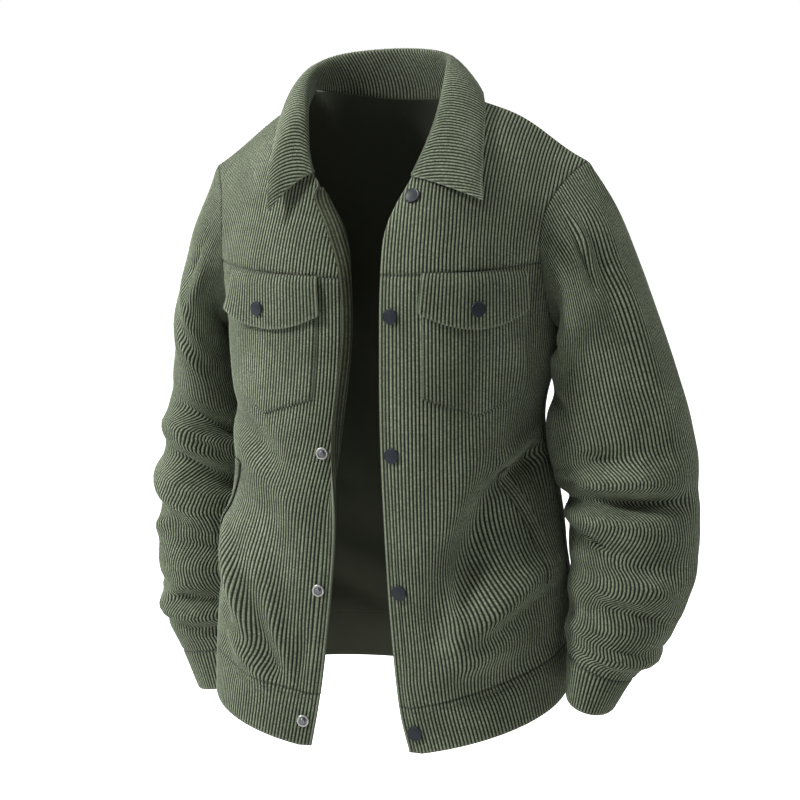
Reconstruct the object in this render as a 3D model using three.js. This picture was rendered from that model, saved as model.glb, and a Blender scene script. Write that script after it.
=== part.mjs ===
// A corduroy jacket in the shape it holds when worn: open front, turned-down collar, front yokes,
// two flapped chest pockets, slanted hand pockets, set-in two-piece sleeves, cuffs and a waistband.
// Millimetres, +Z up, the open front faces -Y. The origin is the middle of the neck opening, level
// with the tops of the shoulder seams. Side +1 is the half at +X, side -1 the half at -X.
import * as THREE from "three";

// Driving sizes, mm
const CLOTH = 2.2; // wall of the main cloth
const COLLAR_CLOTH = 2.6; // two layers and interlining
const PATCH_CLOTH = 1.6; // flaps, patch pockets and welts
const SEAM_GAP = 0.3;
const ARMHOLE_MITRE = 0.42; // smallest cosine that the slant of a seam follows
const WAISTBAND_LEVEL = -1;
const HEM_SEAM_LEVEL = 0;
const UNDERARM_LEVEL = 4;
const YOKE_LEVEL = 5;
const NECK_LEVEL = 7;
const SHOULDER_LEVEL = 10;
const CUFF_SEAM = 11;
const CUFF_END = 12;
const SNAP_RADIUS = 8;
const STUD_RADIUS = 6.5;

// Grid counts
const BODY_ROWS_PER_LEVEL = 3; // below the underarm
const UPPER_ROWS_PER_LEVEL = 2;
const FRONT_COLUMNS = 9; // from the roll line to the side seam
const NAPE_COLUMNS = 4; // each half, along the neckline
const SLEEVE_AROUND = 24;
const SLEEVE_ROWS = 26;
const COLLAR_COLUMNS = 32;

const HANDLE = 0.385; // Bezier handle as a share of the chord, which gives a near-elliptical quarter
const STEP = 1e-3; // parameter step for a normal

// A table of sections. The first column is the key, and value(name, key) follows
// a smooth curve through the rows.
function sections(names, rows) {
  const slope = (i, c) => {
    const a = rows[Math.max(i - 1, 0)];
    const b = rows[Math.min(i + 1, rows.length - 1)];
    return (b[c] - a[c]) / (b[0] - a[0]);
  };
  return (name, key) => {
    const c = names.indexOf(name);
    let i = 0;
    while (i < rows.length - 2 && key > rows[i + 1][0]) i += 1;
    const [a, b] = [rows[i], rows[i + 1]];
    const span = b[0] - a[0];
    const t = THREE.MathUtils.clamp((key - a[0]) / span, 0, 1);
    const [t2, t3] = [t * t, t * t * t];
    return (
      (2 * t3 - 3 * t2 + 1) * a[c] +
      (t3 - 2 * t2 + t) * span * slope(i, c) +
      (3 * t2 - 2 * t3) * b[c] +
      (t3 - t2) * span * slope(i + 1, c)
    );
  };
}

// The line where the front edge may roll, up to the neck, then the neckline to the shoulder. turn is
// how far the cloth heads towards the viewer, in degrees, as it leaves that line. strip is the cloth
// between the line and the front edge, and roll is how far that strip is turned outwards, in degrees.
const EDGE_COLUMNS = ["level", "x", "y", "z", "turn", "strip", "roll"];
const FRONT_EDGE = {
  1: sections(EDGE_COLUMNS, [
    [-1, 70, -141, -676, 4, 14, 0],
    [0, 58, -139, -628, 4, 14, 0],
    [1, 50, -145, -535, 6, 14, 0],
    [2, 45, -149, -440, 6, 14, 0],
    [3, 41, -150, -345, 6, 14, 0],
    [4, 40, -150, -250, 7, 14, 0],
    [5, 40, -146, -177, 9, 14, 0],
    [6, 44, -137, -128, 12, 14, 0],
    [7, 54, -113, -82, 12, 5, 0],
    [8, 66, -82, -48, 10, 2, 0],
    [9, 72, -46, -18, 4, 1.2, 0],
    [10, 75, -10, 0, 0, 0.5, 0],
  ]),
  "-1": sections(EDGE_COLUMNS, [
    [-1, 66, -140, -680, 6, 14, 0],
    [0, 57, -137, -624, 8, 14, 0],
    [1, 48, -136, -542, 12, 15, 4],
    [2, 38, -135, -445, 14, 16, 24],
    [3, 24, -135, -350, 14, 16, 100],
    [4, 13, -134, -255, 14, 14, 160],
    [5, 14, -130, -184, 14, 15, 172],
    [6, 22, -122, -139, 14, 21, 176],
    [6.6, 44, -110, -104, 13, 18, 170],
    [7, 60, -104, -82, 12, 3, 0],
    [8, 77, -80, -46, 10, 2, 0],
    [9, 85, -46, -18, 4, 1.2, 0],
    [10, 88, -10, 0, 0, 0.5, 0],
  ]),
};
const EDGE_ROLL_RADIUS = 3.6;
const STRIP_COLUMNS = { 1: 1, "-1": 5 };

const SEAM_COLUMNS = ["level", "x", "y", "z"];
const SIDE_SEAM = {
  1: sections(SEAM_COLUMNS, [
    [-1, 198, -28, -628],
    [0, 197, -28, -573],
    [1, 195, -27, -500],
    [2, 182, -22, -418],
    [3, 163, -14, -335],
    [4, 184, -2, -245],
  ]),
  "-1": sections(SEAM_COLUMNS, [
    [-1, 190, -42, -643],
    [0, 189, -42, -590],
    [1, 186, -42, -522],
    [2, 160, -36, -436],
    [3, 170, -22, -340],
    [4, 184, -2, -245],
  ]),
};
const FRONT_ARMHOLE = sections(SEAM_COLUMNS, [
  [4, 184, -2, -245],
  [4.5, 178, -40, -226],
  [5, 173, -66, -168],
  [6, 173, -68, -134],
  [7, 177, -58, -112],
  [8, 184, -40, -95],
  [9, 194, -18, -80],
  [10, 205, 4, -69],
]);
const BACK_ARMHOLE = sections(SEAM_COLUMNS, [
  [4, 184, -2, -245],
  [4.5, 187, 36, -226],
  [5, 188, 66, -186],
  [6, 185, 82, -146],
  [7, 184, 79, -118],
  [8, 188, 62, -97],
  [9, 196, 34, -80],
  [10, 205, 4, -69],
]);
const LOWER_SHOULDER = 13; // how much lower the shoulder at -X hangs than the one at +X
// The way a row heads as it meets the side seam or armhole, in degrees from straight outwards
const ROW_END = sections(
  ["level", "front", "back"],
  [
    [-1, 90, 90],
    [3, 90, 90],
    [4, 88, 88],
    [5, 58, 56],
    [6, 40, 40],
    [7, 34, 36],
    [8, 26, 30],
    [9, 15, 18],
    [10, 6, 6],
  ],
);
const CENTRE_BACK = sections(
  ["level", "y", "z"],
  [
    [-1, 128, -658],
    [0, 126, -606],
    [1, 141, -526],
    [2, 137, -436],
    [3, 129, -346],
    [4, 127, -252],
    [5, 125, -188],
    [6, 118, -142],
    [7, 107, -104],
    [8, 92, -68],
    [9, 73, -36],
    [10, 50, -9],
  ],
);
const NECK_SHARE = 0.36; // share of each half of the back's top row that is neckline
const BACK_RISE_FROM = 6; // level from which the back shapes itself to the shoulders
const SHOULDER_CROWN = { 1: 9, "-1": 2 }; // how far each shoulder seam arches over the shoulder

// Folds of the body: ridges and troughs between two places seen from the front, x across and z up.
const FOLD_COLUMNS = ["x0", "z0", "x1", "z1", "width", "height"];
const FRONT_FOLDS = {
  1: [
    [190, -320, 84, -540, 32, -13],
    [150, -330, 76, -480, 24, 5],
    [196, -470, 66, -620, 24, 11],
    [120, -620, 74, -520, 16, -4],
    [185, -575, 130, -618, 14, -5],
  ],
  "-1": [
    [172, -400, 112, -600, 22, 11],
    [150, -540, 70, -622, 18, -7],
    [110, -370, 74, -570, 22, -5],
    [188, -520, 150, -612, 15, -7],
  ],
};
const BACK_FOLDS = [
  [-150, -200, -60, -480, 26, -8],
  [165, -210, 70, -440, 24, -7],
  [-170, -490, 20, -590, 20, -8],
  [175, -480, 30, -570, 20, -7],
  [40, -310, 60, -550, 24, -5],
];

// Sleeve sections from the armhole to the cuff end: the inner and outer side seen from the front,
// the middle in depth, and the half-depth.
const SLEEVE_COLUMNS = ["ring", "xIn", "zIn", "xOut", "zOut", "yMid", "depth"];
const SLEEVE = {
  1: sections(SLEEVE_COLUMNS, [
    [0, 184, -245, 205, -69, 2, 78],
    [1, 194, -254, 233, -112, 2, 78],
    [2, 189, -273, 256, -165, 1, 74],
    [3, 177, -300, 279, -221, -2, 68],
    [4, 170, -335, 303, -283, -8, 66],
    [5, 174, -371, 322, -341, -15, 64],
    [6, 187, -403, 332, -397, -21, 61],
    [7, 197, -440, 333, -449, -27, 59],
    [8, 202, -476, 330, -498, -35, 57],
    [9, 203, -510, 318, -540, -42, 54],
    [10, 204, -544, 298, -574, -50, 50],
    [11, 206, -572, 274, -600, -56, 43],
    [12, 208, -617, 255, -633, -66, 45],
  ]),
  "-1": sections(SLEEVE_COLUMNS, [
    [0, 184, -245, 205, -69, 2, 78],
    [1, 195, -255, 222, -124, 6, 81],
    [2, 190, -278, 239, -178, 18, 82],
    [3, 187, -306, 250, -234, 30, 80],
    [4, 182, -342, 263, -289, 40, 78],
    [5, 176, -384, 277, -346, 49, 75],
    [6, 173, -428, 290, -404, 56, 72],
    [7, 174, -472, 299, -460, 62, 69],
    [8, 178, -516, 302, -520, 68, 65],
    [9, 183, -556, 302, -575, 74, 60],
    [10, 189, -598, 297, -618, 78, 54],
    [11, 194, -632, 284, -650, 80, 45],
    [12, 194, -680, 266, -696, 84, 42],
  ]),
};
const ARMHOLE_REACH = 2.6; // rings over which the armhole's own shape fades into the sleeve's

// Folds across a sleeve: ring where it sits, angle round the sleeve (0 outer, 90 front, 180 inner,
// 270 back), half-span in degrees, rings it climbs per 90 degrees, width in rings, height in mm.
const SLEEVE_FOLD_COLUMNS = ["ring", "angle", "span", "climb", "width", "height"];
const SLEEVE_FOLDS = {
  1: [
    [1.6, 60, 40, -0.9, 0.5, -4],
    [2.3, 135, 40, 0.2, 0.9, 13],
    [3.2, 150, 60, 0.8, 0.45, -6],
    [5.35, 110, 34, 0.35, 0.2, -7],
    [5.75, 95, 70, 0.2, 0.3, 8],
    [6.3, 105, 78, 0.1, 0.24, -15],
    [6.85, 80, 70, -0.3, 0.34, 7],
    [7.35, 125, 52, -0.35, 0.24, -10],
    [8.3, 70, 70, 0.5, 0.36, 6],
    [9.1, 110, 60, 0.6, 0.3, -6],
    [10.2, 30, 90, 0.3, 0.26, 6],
    [5.2, 250, 60, -0.5, 0.4, 6],
    [6.2, 255, 62, -0.3, 0.3, -8],
    [7.3, 240, 66, 0.3, 0.34, 6],
    [8.6, 250, 60, 0.4, 0.3, -6],
    [10.3, 220, 70, 0, 0.24, 5],
  ],
  "-1": [
    [1.5, 70, 46, -0.8, 0.5, -5],
    [3.1, 40, 60, 1.0, 0.4, 5],
    [4.85, 110, 62, 0.15, 0.26, -14],
    [5.45, 80, 80, -0.3, 0.36, 8],
    [6.1, 105, 76, 0.25, 0.3, -16],
    [6.9, 60, 74, 0.7, 0.26, 9],
    [7.35, 95, 66, 0.25, 0.24, -11],
    [8.4, 90, 80, 0.1, 0.42, 6],
    [9.1, 70, 66, 0.55, 0.2, -8],
    [9.55, 50, 76, 0.5, 0.24, 9],
    [10.15, 90, 70, 0.2, 0.22, -6],
    [5.0, 250, 60, -0.4, 0.4, 6],
    [6.0, 255, 64, -0.2, 0.3, -9],
    [7.2, 245, 60, 0.3, 0.3, 6],
    [8.8, 250, 64, 0.3, 0.3, -6],
  ],
};

// Collar: the roll line and the leaf's edge, round from the neck point at -X to the one at +X.
const COLLAR = sections(
  ["round", "rollX", "rollY", "rollZ", "leafX", "leafY", "leafZ"],
  [
    [0, -58, -109, -80, -99, -131, -120],
    [0.06, -67, -100, -55, -101, -125, -102],
    [0.14, -76, -82, -18, -104, -104, -66],
    [0.25, -90, -32, 16, -108, -42, -16],
    [0.37, -80, 28, 35, -100, 46, 0],
    [0.5, -22, 58, 43, -24, 88, -8],
    [0.63, 41, 33, 40, 67, 50, -2],
    [0.75, 60, -20, 24, 101, -22, -8],
    [0.86, 67, -78, -24, 118, -90, -62],
    [0.94, 60, -102, -56, 125, -118, -88],
    [1, 52, -116, -80, 129, -129, -101],
  ],
);
const ROLL_RADIUS = 8;
const STAND_ROWS = 2;
const LEAF_ROWS = 5;
const STAND_LIFT = 2.15; // the collar stands this far above the neckline's middle line

// Chest pockets and flaps, in mm across from the front edge and down from the yoke seam
const POCKET = { from: 46, width: 115, side: 129, point: 149, top: 13 };
const FLAP = { from: 45, width: 113, side: 40, point: 57, flare: 3 };
const FLAP_SNAP_LIFT = { 1: 3.5, "-1": 3.9 };
const FLAP_LIFT = { 1: 1, "-1": 9 }; // how far the flap's outer corner stands off
const HAND_POCKET = { 1: [138, -378, 184, -496], "-1": [142, -386, 190, -500] }; // across, z, across, z
const WELT_WIDTH = 14;
const WELT_LIFT = { 1: 0.9, "-1": 1.1 };
const FACING_SHARE = 0.2; // share of a front row that the facing covers, past the roll line
const FACING_GAP = 0.45;
// Where each cap and stud sits: level, mm across from the front edge, and how far it stands off
const SNAP_COLUMNS = ["level", "across", "off"];
const SNAP_CAPS = [
  [6.62, 13, 1.25],
  [4.4, 13, 1.55],
  [2.84, 13, 1.6],
  [1.33, 13, 1.6],
  [-0.49, 13, 2.1],
];
const SNAP_STUDS = [
  [2.84, 28, 0.9],
  [1.33, 14, 1.6],
  [-0.49, 14, 1.6],
];
const FIRST_STUD = 3; // the two higher studs lie inside the rolled edge
const FLAP_SNAP_SHARE = { 1: 0.49, "-1": 0.6 };

const { clamp, degToRad, smoothstep } = THREE.MathUtils;
const vec = (x, y, z) => new THREE.Vector3(x, y, z);

function bezier(a, b, c, d, t) {
  const u = 1 - t;
  return a
    .clone()
    .multiplyScalar(u * u * u)
    .addScaledVector(b, 3 * u * u * t)
    .addScaledVector(c, 3 * u * t * t)
    .addScaledVector(d, t * t * t);
}

// Outward normal of a surface point(s, v), from short steps along both parameters.
function normalOf(point, s, v, side) {
  const across = point(s + STEP, v).sub(point(s - STEP, v));
  const up = point(s, v + STEP).sub(point(s, v - STEP));
  return across.cross(up).multiplyScalar(side).normalize();
}

// A soft ridge or trough along a segment, with rounded ends.
function foldHeight(folds, x, z) {
  const at = (row, name) => row[FOLD_COLUMNS.indexOf(name)];
  return folds.reduce((sum, row) => {
    const [x0, z0] = [at(row, "x0"), at(row, "z0")];
    const [dx, dz] = [at(row, "x1") - x0, at(row, "z1") - z0];
    const t = clamp(((x - x0) * dx + (z - z0) * dz) / (dx * dx + dz * dz), 0, 1);
    const away = Math.hypot(x - x0 - t * dx, z - z0 - t * dz) / at(row, "width");
    const swell = 0.45 + 0.55 * Math.sin(Math.PI * t);
    return sum + at(row, "height") * swell * Math.exp(-away * away);
  }, 0);
}

function seamPoint(side, face, level) {
  const armhole = face === "front" ? FRONT_ARMHOLE : BACK_ARMHOLE;
  const curve = level <= UNDERARM_LEVEL ? SIDE_SEAM[side] : armhole;
  const drop = side < 0 ? LOWER_SHOULDER * smoothstep(level, UNDERARM_LEVEL, 5.5) : 0;
  return vec(curve("x", level), curve("y", level), curve("z", level) - drop);
}

// A row of one quarter of the body, from its inner point to the seam, in the +X half.
function rowPoint(inner, outer, turnIn, turnOut, s) {
  const reach = Math.hypot(outer.x - inner.x, outer.y - inner.y) * HANDLE;
  const b = vec(inner.x + Math.cos(turnIn) * reach, inner.y - Math.sin(turnIn) * reach, 0);
  const c = vec(outer.x - Math.cos(turnOut) * reach, outer.y - Math.sin(turnOut) * reach, 0);
  const p = bezier(inner, b, c, outer, s);
  p.z = inner.z + (outer.z - inner.z) * s;
  return p;
}

function smoothFront(side, s, level) {
  const edge = FRONT_EDGE[side];
  const line = vec(edge("x", level), edge("y", level), edge("z", level));
  const turn = degToRad(edge("turn", level));
  if (s < 0) {
    const along = -s * edge("strip", level);
    const roll = degToRad(Math.max(edge("roll", level), 0));
    const bent = Math.min(along, EDGE_ROLL_RADIUS * roll);
    const angle = bent / EDGE_ROLL_RADIUS;
    const back = -(EDGE_ROLL_RADIUS * Math.sin(angle) + (along - bent) * Math.cos(angle));
    const forward = EDGE_ROLL_RADIUS * (1 - Math.cos(angle)) + (along - bent) * Math.sin(angle);
    line.x += back * Math.cos(turn) + forward * Math.sin(turn);
    line.y += -back * Math.sin(turn) - forward * Math.cos(turn);
    line.x *= side;
    return line;
  }
  const outer = seamPoint(side, "front", level);
  const p = rowPoint(line, outer, turn, degToRad(ROW_END("front", level)), s);
  const upper = smoothstep(level, BACK_RISE_FROM, SHOULDER_LEVEL);
  p.z += SHOULDER_CROWN[side] * Math.sin(Math.PI * s) ** 2 * upper;
  p.x *= side;
  return p;
}

// Front of one half: s runs from -1 at the front edge, through 0 at the roll line, to 1 at the side
// seam or armhole.
function frontPoint(side, s, level) {
  const smooth = (a, b) => smoothFront(side, a, b);
  const p = smooth(s, level);
  const fade =
    smoothstep(1 - s, 0, 0.14) * (1 - smoothstep(level, 6, 7)) * smoothstep(level, -0.9, 0.4);
  const flat = smoothstep(s, -1, 0.4);
  const height = foldHeight(FRONT_FOLDS[side], p.x * side, p.z) * fade * flat;
  return p.addScaledVector(normalOf(smooth, s, level, side), height);
}

// Top of the back: the neckline, then the shoulder seam that it shares with the front.
function backTop(side, s) {
  if (s > NECK_SHARE) return smoothFront(side, (s - NECK_SHARE) / (1 - NECK_SHARE), SHOULDER_LEVEL);
  const turn = ((s / NECK_SHARE) * Math.PI) / 2;
  const nape = CENTRE_BACK("y", SHOULDER_LEVEL);
  const corner = smoothFront(side, 0, SHOULDER_LEVEL);
  return vec(
    corner.x * Math.sin(turn),
    corner.y + (nape - corner.y) * Math.cos(turn),
    CENTRE_BACK("z", SHOULDER_LEVEL) * Math.cos(turn) ** 2,
  );
}

function backRow(side, s, level) {
  const inner = vec(0, CENTRE_BACK("y", level), CENTRE_BACK("z", level));
  const outer = seamPoint(side, "back", level);
  [inner.y, outer.y] = [-inner.y, -outer.y];
  const p = rowPoint(inner, outer, 0, degToRad(ROW_END("back", level)), s);
  return vec(p.x * side, -p.y, p.z);
}

// The back: s runs from -1 at the side seam at -X, through 0 at the centre, to 1 at the seam at +X.
function smoothBack(s, level) {
  const side = s < 0 ? -1 : 1;
  const share = Math.min(Math.abs(s), 1);
  const p = backRow(side, share, level);
  const rise = clamp((level - BACK_RISE_FROM) / (SHOULDER_LEVEL - BACK_RISE_FROM), 0, 1) ** 1.6;
  const top = backTop(side, share).sub(backRow(side, share, SHOULDER_LEVEL));
  return p.addScaledVector(top, rise);
}

function backPoint(s, level) {
  const p = smoothBack(s, level);
  const fade =
    smoothstep(1 - Math.abs(s), 0, 0.14) *
    (1 - smoothstep(level, 6, 8)) *
    smoothstep(level, -0.9, 0.4);
  const height = foldHeight(BACK_FOLDS, p.x, p.z) * fade;
  return p.addScaledVector(normalOf(smoothBack, s, level, -1), height);
}

// The armhole loop: 0 at the underarm, up the front, 0.5 at the shoulder tip, down the back.
function armholeSeam(side, turn) {
  const share = turn <= 0.5 ? turn * 2 : 2 - turn * 2;
  const level = UNDERARM_LEVEL + (SHOULDER_LEVEL - UNDERARM_LEVEL) * share;
  const p = seamPoint(side, turn <= 0.5 ? "front" : "back", Math.max(level, UNDERARM_LEVEL + 1e-6));
  p.x *= side;
  return p;
}

function sleeveRing(side, turn, ring) {
  const get = (name) => SLEEVE[side](name, ring);
  const angle = Math.PI - turn * 2 * Math.PI;
  const share = (1 + Math.cos(angle)) / 2;
  return vec(
    (get("xIn") + (get("xOut") - get("xIn")) * share) * side,
    get("yMid") - get("depth") * Math.sin(angle),
    get("zIn") + (get("zOut") - get("zIn")) * share,
  );
}

function smoothSleeve(side, turn, ring) {
  const round = turn - Math.floor(turn + 1e-9);
  const p = sleeveRing(side, round, ring);
  const fade = clamp(1 - ring / ARMHOLE_REACH, 0, 1) ** 2;
  const shift = armholeSeam(side, round).sub(sleeveRing(side, round, 0));
  return p.addScaledVector(shift, fade);
}

// One sleeve: turn runs round as the armhole loop does, ring from the armhole to the cuff end.
function sleevePoint(side, turn, ring) {
  const smooth = (a, b) => smoothSleeve(side, a, b);
  const p = smooth(turn, ring);
  const angle = 180 - turn * 360;
  const height = SLEEVE_FOLDS[side].reduce((sum, row) => {
    const at = (name) => row[SLEEVE_FOLD_COLUMNS.indexOf(name)];
    const off = ((((angle - at("angle") + 180) % 360) + 360) % 360) - 180;
    const along = (ring - at("ring") - (at("climb") * off) / 90) / at("width");
    const round = off / at("span");
    return sum + at("height") * Math.exp(-along * along - round * round);
  }, 0);
  const fade = smoothstep(ring, 0.1, 1.2) * (1 - smoothstep(ring, 10.4, CUFF_SEAM));
  return p.addScaledVector(normalOf(smooth, turn, ring, -side), height * fade);
}

function neckline(round) {
  const side = round < 0.5 ? -1 : 1;
  const share = side < 0 ? round * 4 : (1 - round) * 4;
  const front = share <= 1;
  const p = front
    ? smoothFront(side, -1, NECK_LEVEL + (SHOULDER_LEVEL - NECK_LEVEL) * share)
    : backTop(side, NECK_SHARE * (2 - share));
  return p.add(vec(0, 0, STAND_LIFT));
}

// The collar: up the stand (0 to 1), over the roll line, and down the leaf (1 to 2).
function collarPoint(round, height) {
  const get = (name) => COLLAR(name, round);
  const seam = neckline(clamp(round, 0, 1));
  const roll = vec(get("rollX"), get("rollY"), get("rollZ"));
  const leaf = vec(get("leafX"), get("leafY"), get("leafZ"));
  const out = leaf.clone().sub(roll).setZ(0).normalize();
  if (height <= 1) {
    const rise = vec(0, 0, seam.distanceTo(roll) * 0.45);
    const inwards = roll.clone().addScaledVector(out, -Math.min(ROLL_RADIUS, seam.distanceTo(roll) * 0.4));
    return bezier(seam, seam.clone().add(rise), inwards, roll, height);
  }
  const over = roll.clone().addScaledVector(out, ROLL_RADIUS);
  const fall = leaf.clone().lerp(over, 0.45).addScaledVector(out, ROLL_RADIUS * 0.7);
  return bezier(roll, over, fall, leaf, height - 1);
}

// A closed wall round a grid of points. grid(i, j) gives the middle surface, normal(i, j) the way out.
// Each edge named in seams is drawn back by half the seam gap, towards its neighbours in the grid
// unless direction(i, j, across) gives another way, where across tells a side edge from an end edge.
function wall(columns, rows, grid, normal, thickness, seams = "", direction = () => null) {
  const points = [];
  const normals = [];
  for (let j = 0; j <= rows; j += 1)
    for (let i = 0; i <= columns; i += 1) {
      points.push(grid(i, j));
      normals.push(normal(i, j));
    }
  const at = (i, j) => j * (columns + 1) + i;
  const drawn = points.map((p) => p.clone());
  const draw = (i, j, di, dj) => {
    const [from, to] = [points[at(i, j)], points[at(i + di, j + dj)]];
    const way = direction(i, j, di !== 0) ?? to.clone().sub(from);
    drawn[at(i, j)].addScaledVector(way.normalize(), SEAM_GAP / 2);
  };
  for (let j = 0; j <= rows; j += 1) {
    if (seams.includes("start")) draw(0, j, 1, 0);
    if (seams.includes("end")) draw(columns, j, -1, 0);
  }
  for (let i = 0; i <= columns; i += 1) {
    if (seams.includes("bottom")) draw(i, 0, 0, 1);
    if (seams.includes("top")) draw(i, rows, 0, -1);
  }
  const position = [];
  for (const reach of [thickness / 2, -thickness / 2])
    drawn.forEach((p, k) => position.push(...p.clone().addScaledVector(normals[k], reach).toArray()));
  const layer = points.length;
  const index = [];
  const quad = (a, b, c, d) => index.push(a, b, c, a, c, d);
  const apart = (a, b) =>
    Math.hypot(...[0, 1, 2].map((axis) => position[3 * a + axis] - position[3 * b + axis]));
  // Pieces that meet at a seam split its twisted edge faces along the same, shorter diagonal.
  const rim = (a, b, c, d) => (apart(a, c) < apart(b, d) ? quad(a, b, c, d) : quad(b, c, d, a));
  for (let j = 0; j < rows; j += 1)
    for (let i = 0; i < columns; i += 1) {
      const [a, b, c, d] = [at(i, j), at(i + 1, j), at(i + 1, j + 1), at(i, j + 1)];
      quad(a, b, c, d);
      quad(a + layer, d + layer, c + layer, b + layer);
    }
  for (let i = 0; i < columns; i += 1) {
    rim(at(i, 0), at(i, 0) + layer, at(i + 1, 0) + layer, at(i + 1, 0));
    rim(at(i + 1, rows), at(i + 1, rows) + layer, at(i, rows) + layer, at(i, rows));
  }
  for (let j = 0; j < rows; j += 1) {
    rim(at(0, j + 1), at(0, j + 1) + layer, at(0, j) + layer, at(0, j));
    rim(at(columns, j), at(columns, j) + layer, at(columns, j + 1) + layer, at(columns, j + 1));
  }
  return solid(position, index);
}

// A geometry whose faces point out, whichever way its grid ran.
function solid(position, index) {
  const geometry = new THREE.BufferGeometry();
  geometry.setAttribute("position", new THREE.Float32BufferAttribute(position, 3));
  const point = (k) => vec(...position.slice(3 * k, 3 * k + 3));
  let volume = 0;
  for (let k = 0; k < index.length; k += 3)
    volume += point(index[k]).dot(point(index[k + 1]).cross(point(index[k + 2])));
  if (volume < 0)
    for (let k = 0; k < index.length; k += 3) [index[k], index[k + 1]] = [index[k + 1], index[k]];
  geometry.setIndex(index);
  geometry.computeVertexNormals();
  return geometry;
}

// Levels of the rows between two levels, closer together above the underarm.
function rowLevels(from, to) {
  const levels = [];
  const body = UNDERARM_LEVEL * BODY_ROWS_PER_LEVEL;
  for (let k = 0; k <= body; k += 1) levels.push((k * UNDERARM_LEVEL) / body);
  const upper = (SHOULDER_LEVEL - UNDERARM_LEVEL) * UPPER_ROWS_PER_LEVEL;
  for (let k = 1; k <= upper; k += 1) levels.push(UNDERARM_LEVEL + k / UPPER_ROWS_PER_LEVEL);
  return [-1, -0.5, ...levels].filter((v) => v > from - 1e-6 && v < to + 1e-6);
}

// At the armhole the body and sleeve walls share one slant, halfway between their own. Where front
// and back meet, at the underarm and the shoulder tip, it is halfway between theirs as well.
function armholeNormal(side, turn) {
  const slant = (face) => {
    const share = turn <= 0.5 ? turn * 2 : 2 - turn * 2;
    const level = UNDERARM_LEVEL + (SHOULDER_LEVEL - UNDERARM_LEVEL) * share;
    const steady = Math.min(level, SHOULDER_LEVEL - 0.02);
    return face === "front"
      ? normalOf((s, v) => smoothFront(side, s, v), 0.985, steady, side)
      : normalOf(smoothBack, 0.985 * side, steady, -1);
  };
  const corner = turn < 1e-6 || turn > 1 - 1e-6 || Math.abs(turn - 0.5) < 1e-6;
  const faces = corner ? ["front", "back"] : [turn < 0.5 ? "front" : "back"];
  const body = vec(0, 0, 0);
  faces.forEach((face) => body.add(slant(face)));
  body.normalize();
  const sleeve = normalOf((a, b) => smoothSleeve(side, a, b), turn, 0.12, -side);
  const between = body.clone().add(sleeve).normalize();
  return between.multiplyScalar(1 / Math.max(between.dot(body), ARMHOLE_MITRE));
}

// Straight across the armhole seam, square to the slant that body and sleeve share there.
function armholeAway(side, turn) {
  const along = armholeSeam(side, Math.min(turn + 0.01, 1));
  along.sub(armholeSeam(side, Math.max(turn - 0.01, 0)));
  const way = along.cross(armholeNormal(side, turn));
  return way.multiplyScalar(Math.sign(way.x * side));
}

function frontShares(side) {
  const strip = STRIP_COLUMNS[side];
  const shares = [];
  for (let k = -strip; k < 0; k += 1) shares.push(k / strip);
  for (let k = 0; k <= FRONT_COLUMNS; k += 1) shares.push(k / FRONT_COLUMNS);
  return shares;
}

function frontWall(side, from, to, seams) {
  const levels = rowLevels(from, to);
  const shares = frontShares(side);
  const turnOf = (level) => (level - UNDERARM_LEVEL) / (SHOULDER_LEVEL - UNDERARM_LEVEL) / 2;
  return wall(
    shares.length - 1,
    levels.length - 1,
    (i, j) => frontPoint(side, shares[i], levels[j]),
    (i, j) => {
      const [s, level] = [shares[i], levels[j]];
      if (s === 1 && level >= UNDERARM_LEVEL) return armholeNormal(side, turnOf(level));
      if (level === SHOULDER_LEVEL) return shoulderNormal(side, Math.max(s, 0));
      return normalOf((a, b) => frontPoint(side, a, b), s, level, side);
    },
    CLOTH,
    seams,
    (i, j, across) =>
      across && i > 0 && levels[j] >= UNDERARM_LEVEL
        ? armholeAway(side, turnOf(levels[j])).negate()
        : null,
  );
}

// The back's columns: NAPE_COLUMNS along the neckline, then the front's own along the shoulder seam.
function backShares() {
  const half = [];
  for (let k = 1; k <= NAPE_COLUMNS; k += 1) half.push((k / NAPE_COLUMNS) * NECK_SHARE);
  for (let k = 1; k <= FRONT_COLUMNS; k += 1)
    half.push(NECK_SHARE + (k / FRONT_COLUMNS) * (1 - NECK_SHARE));
  return [...half.map((s) => -s).reverse(), 0, ...half];
}

// At the shoulder seam the front and back walls share one slant too.
function shoulderNormal(side, share) {
  const from = clamp(share, STEP, 1 - STEP);
  const front = normalOf((s, v) => smoothFront(side, s, v), from, SHOULDER_LEVEL - 0.1, side);
  const along = side * clamp(NECK_SHARE + share * (1 - NECK_SHARE), 0, 1 - STEP);
  const back = normalOf(smoothBack, along, SHOULDER_LEVEL - 0.1, -1);
  const between = front.clone().add(back).normalize();
  return between.multiplyScalar(1 / Math.max(between.dot(front), 0.75));
}

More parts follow.
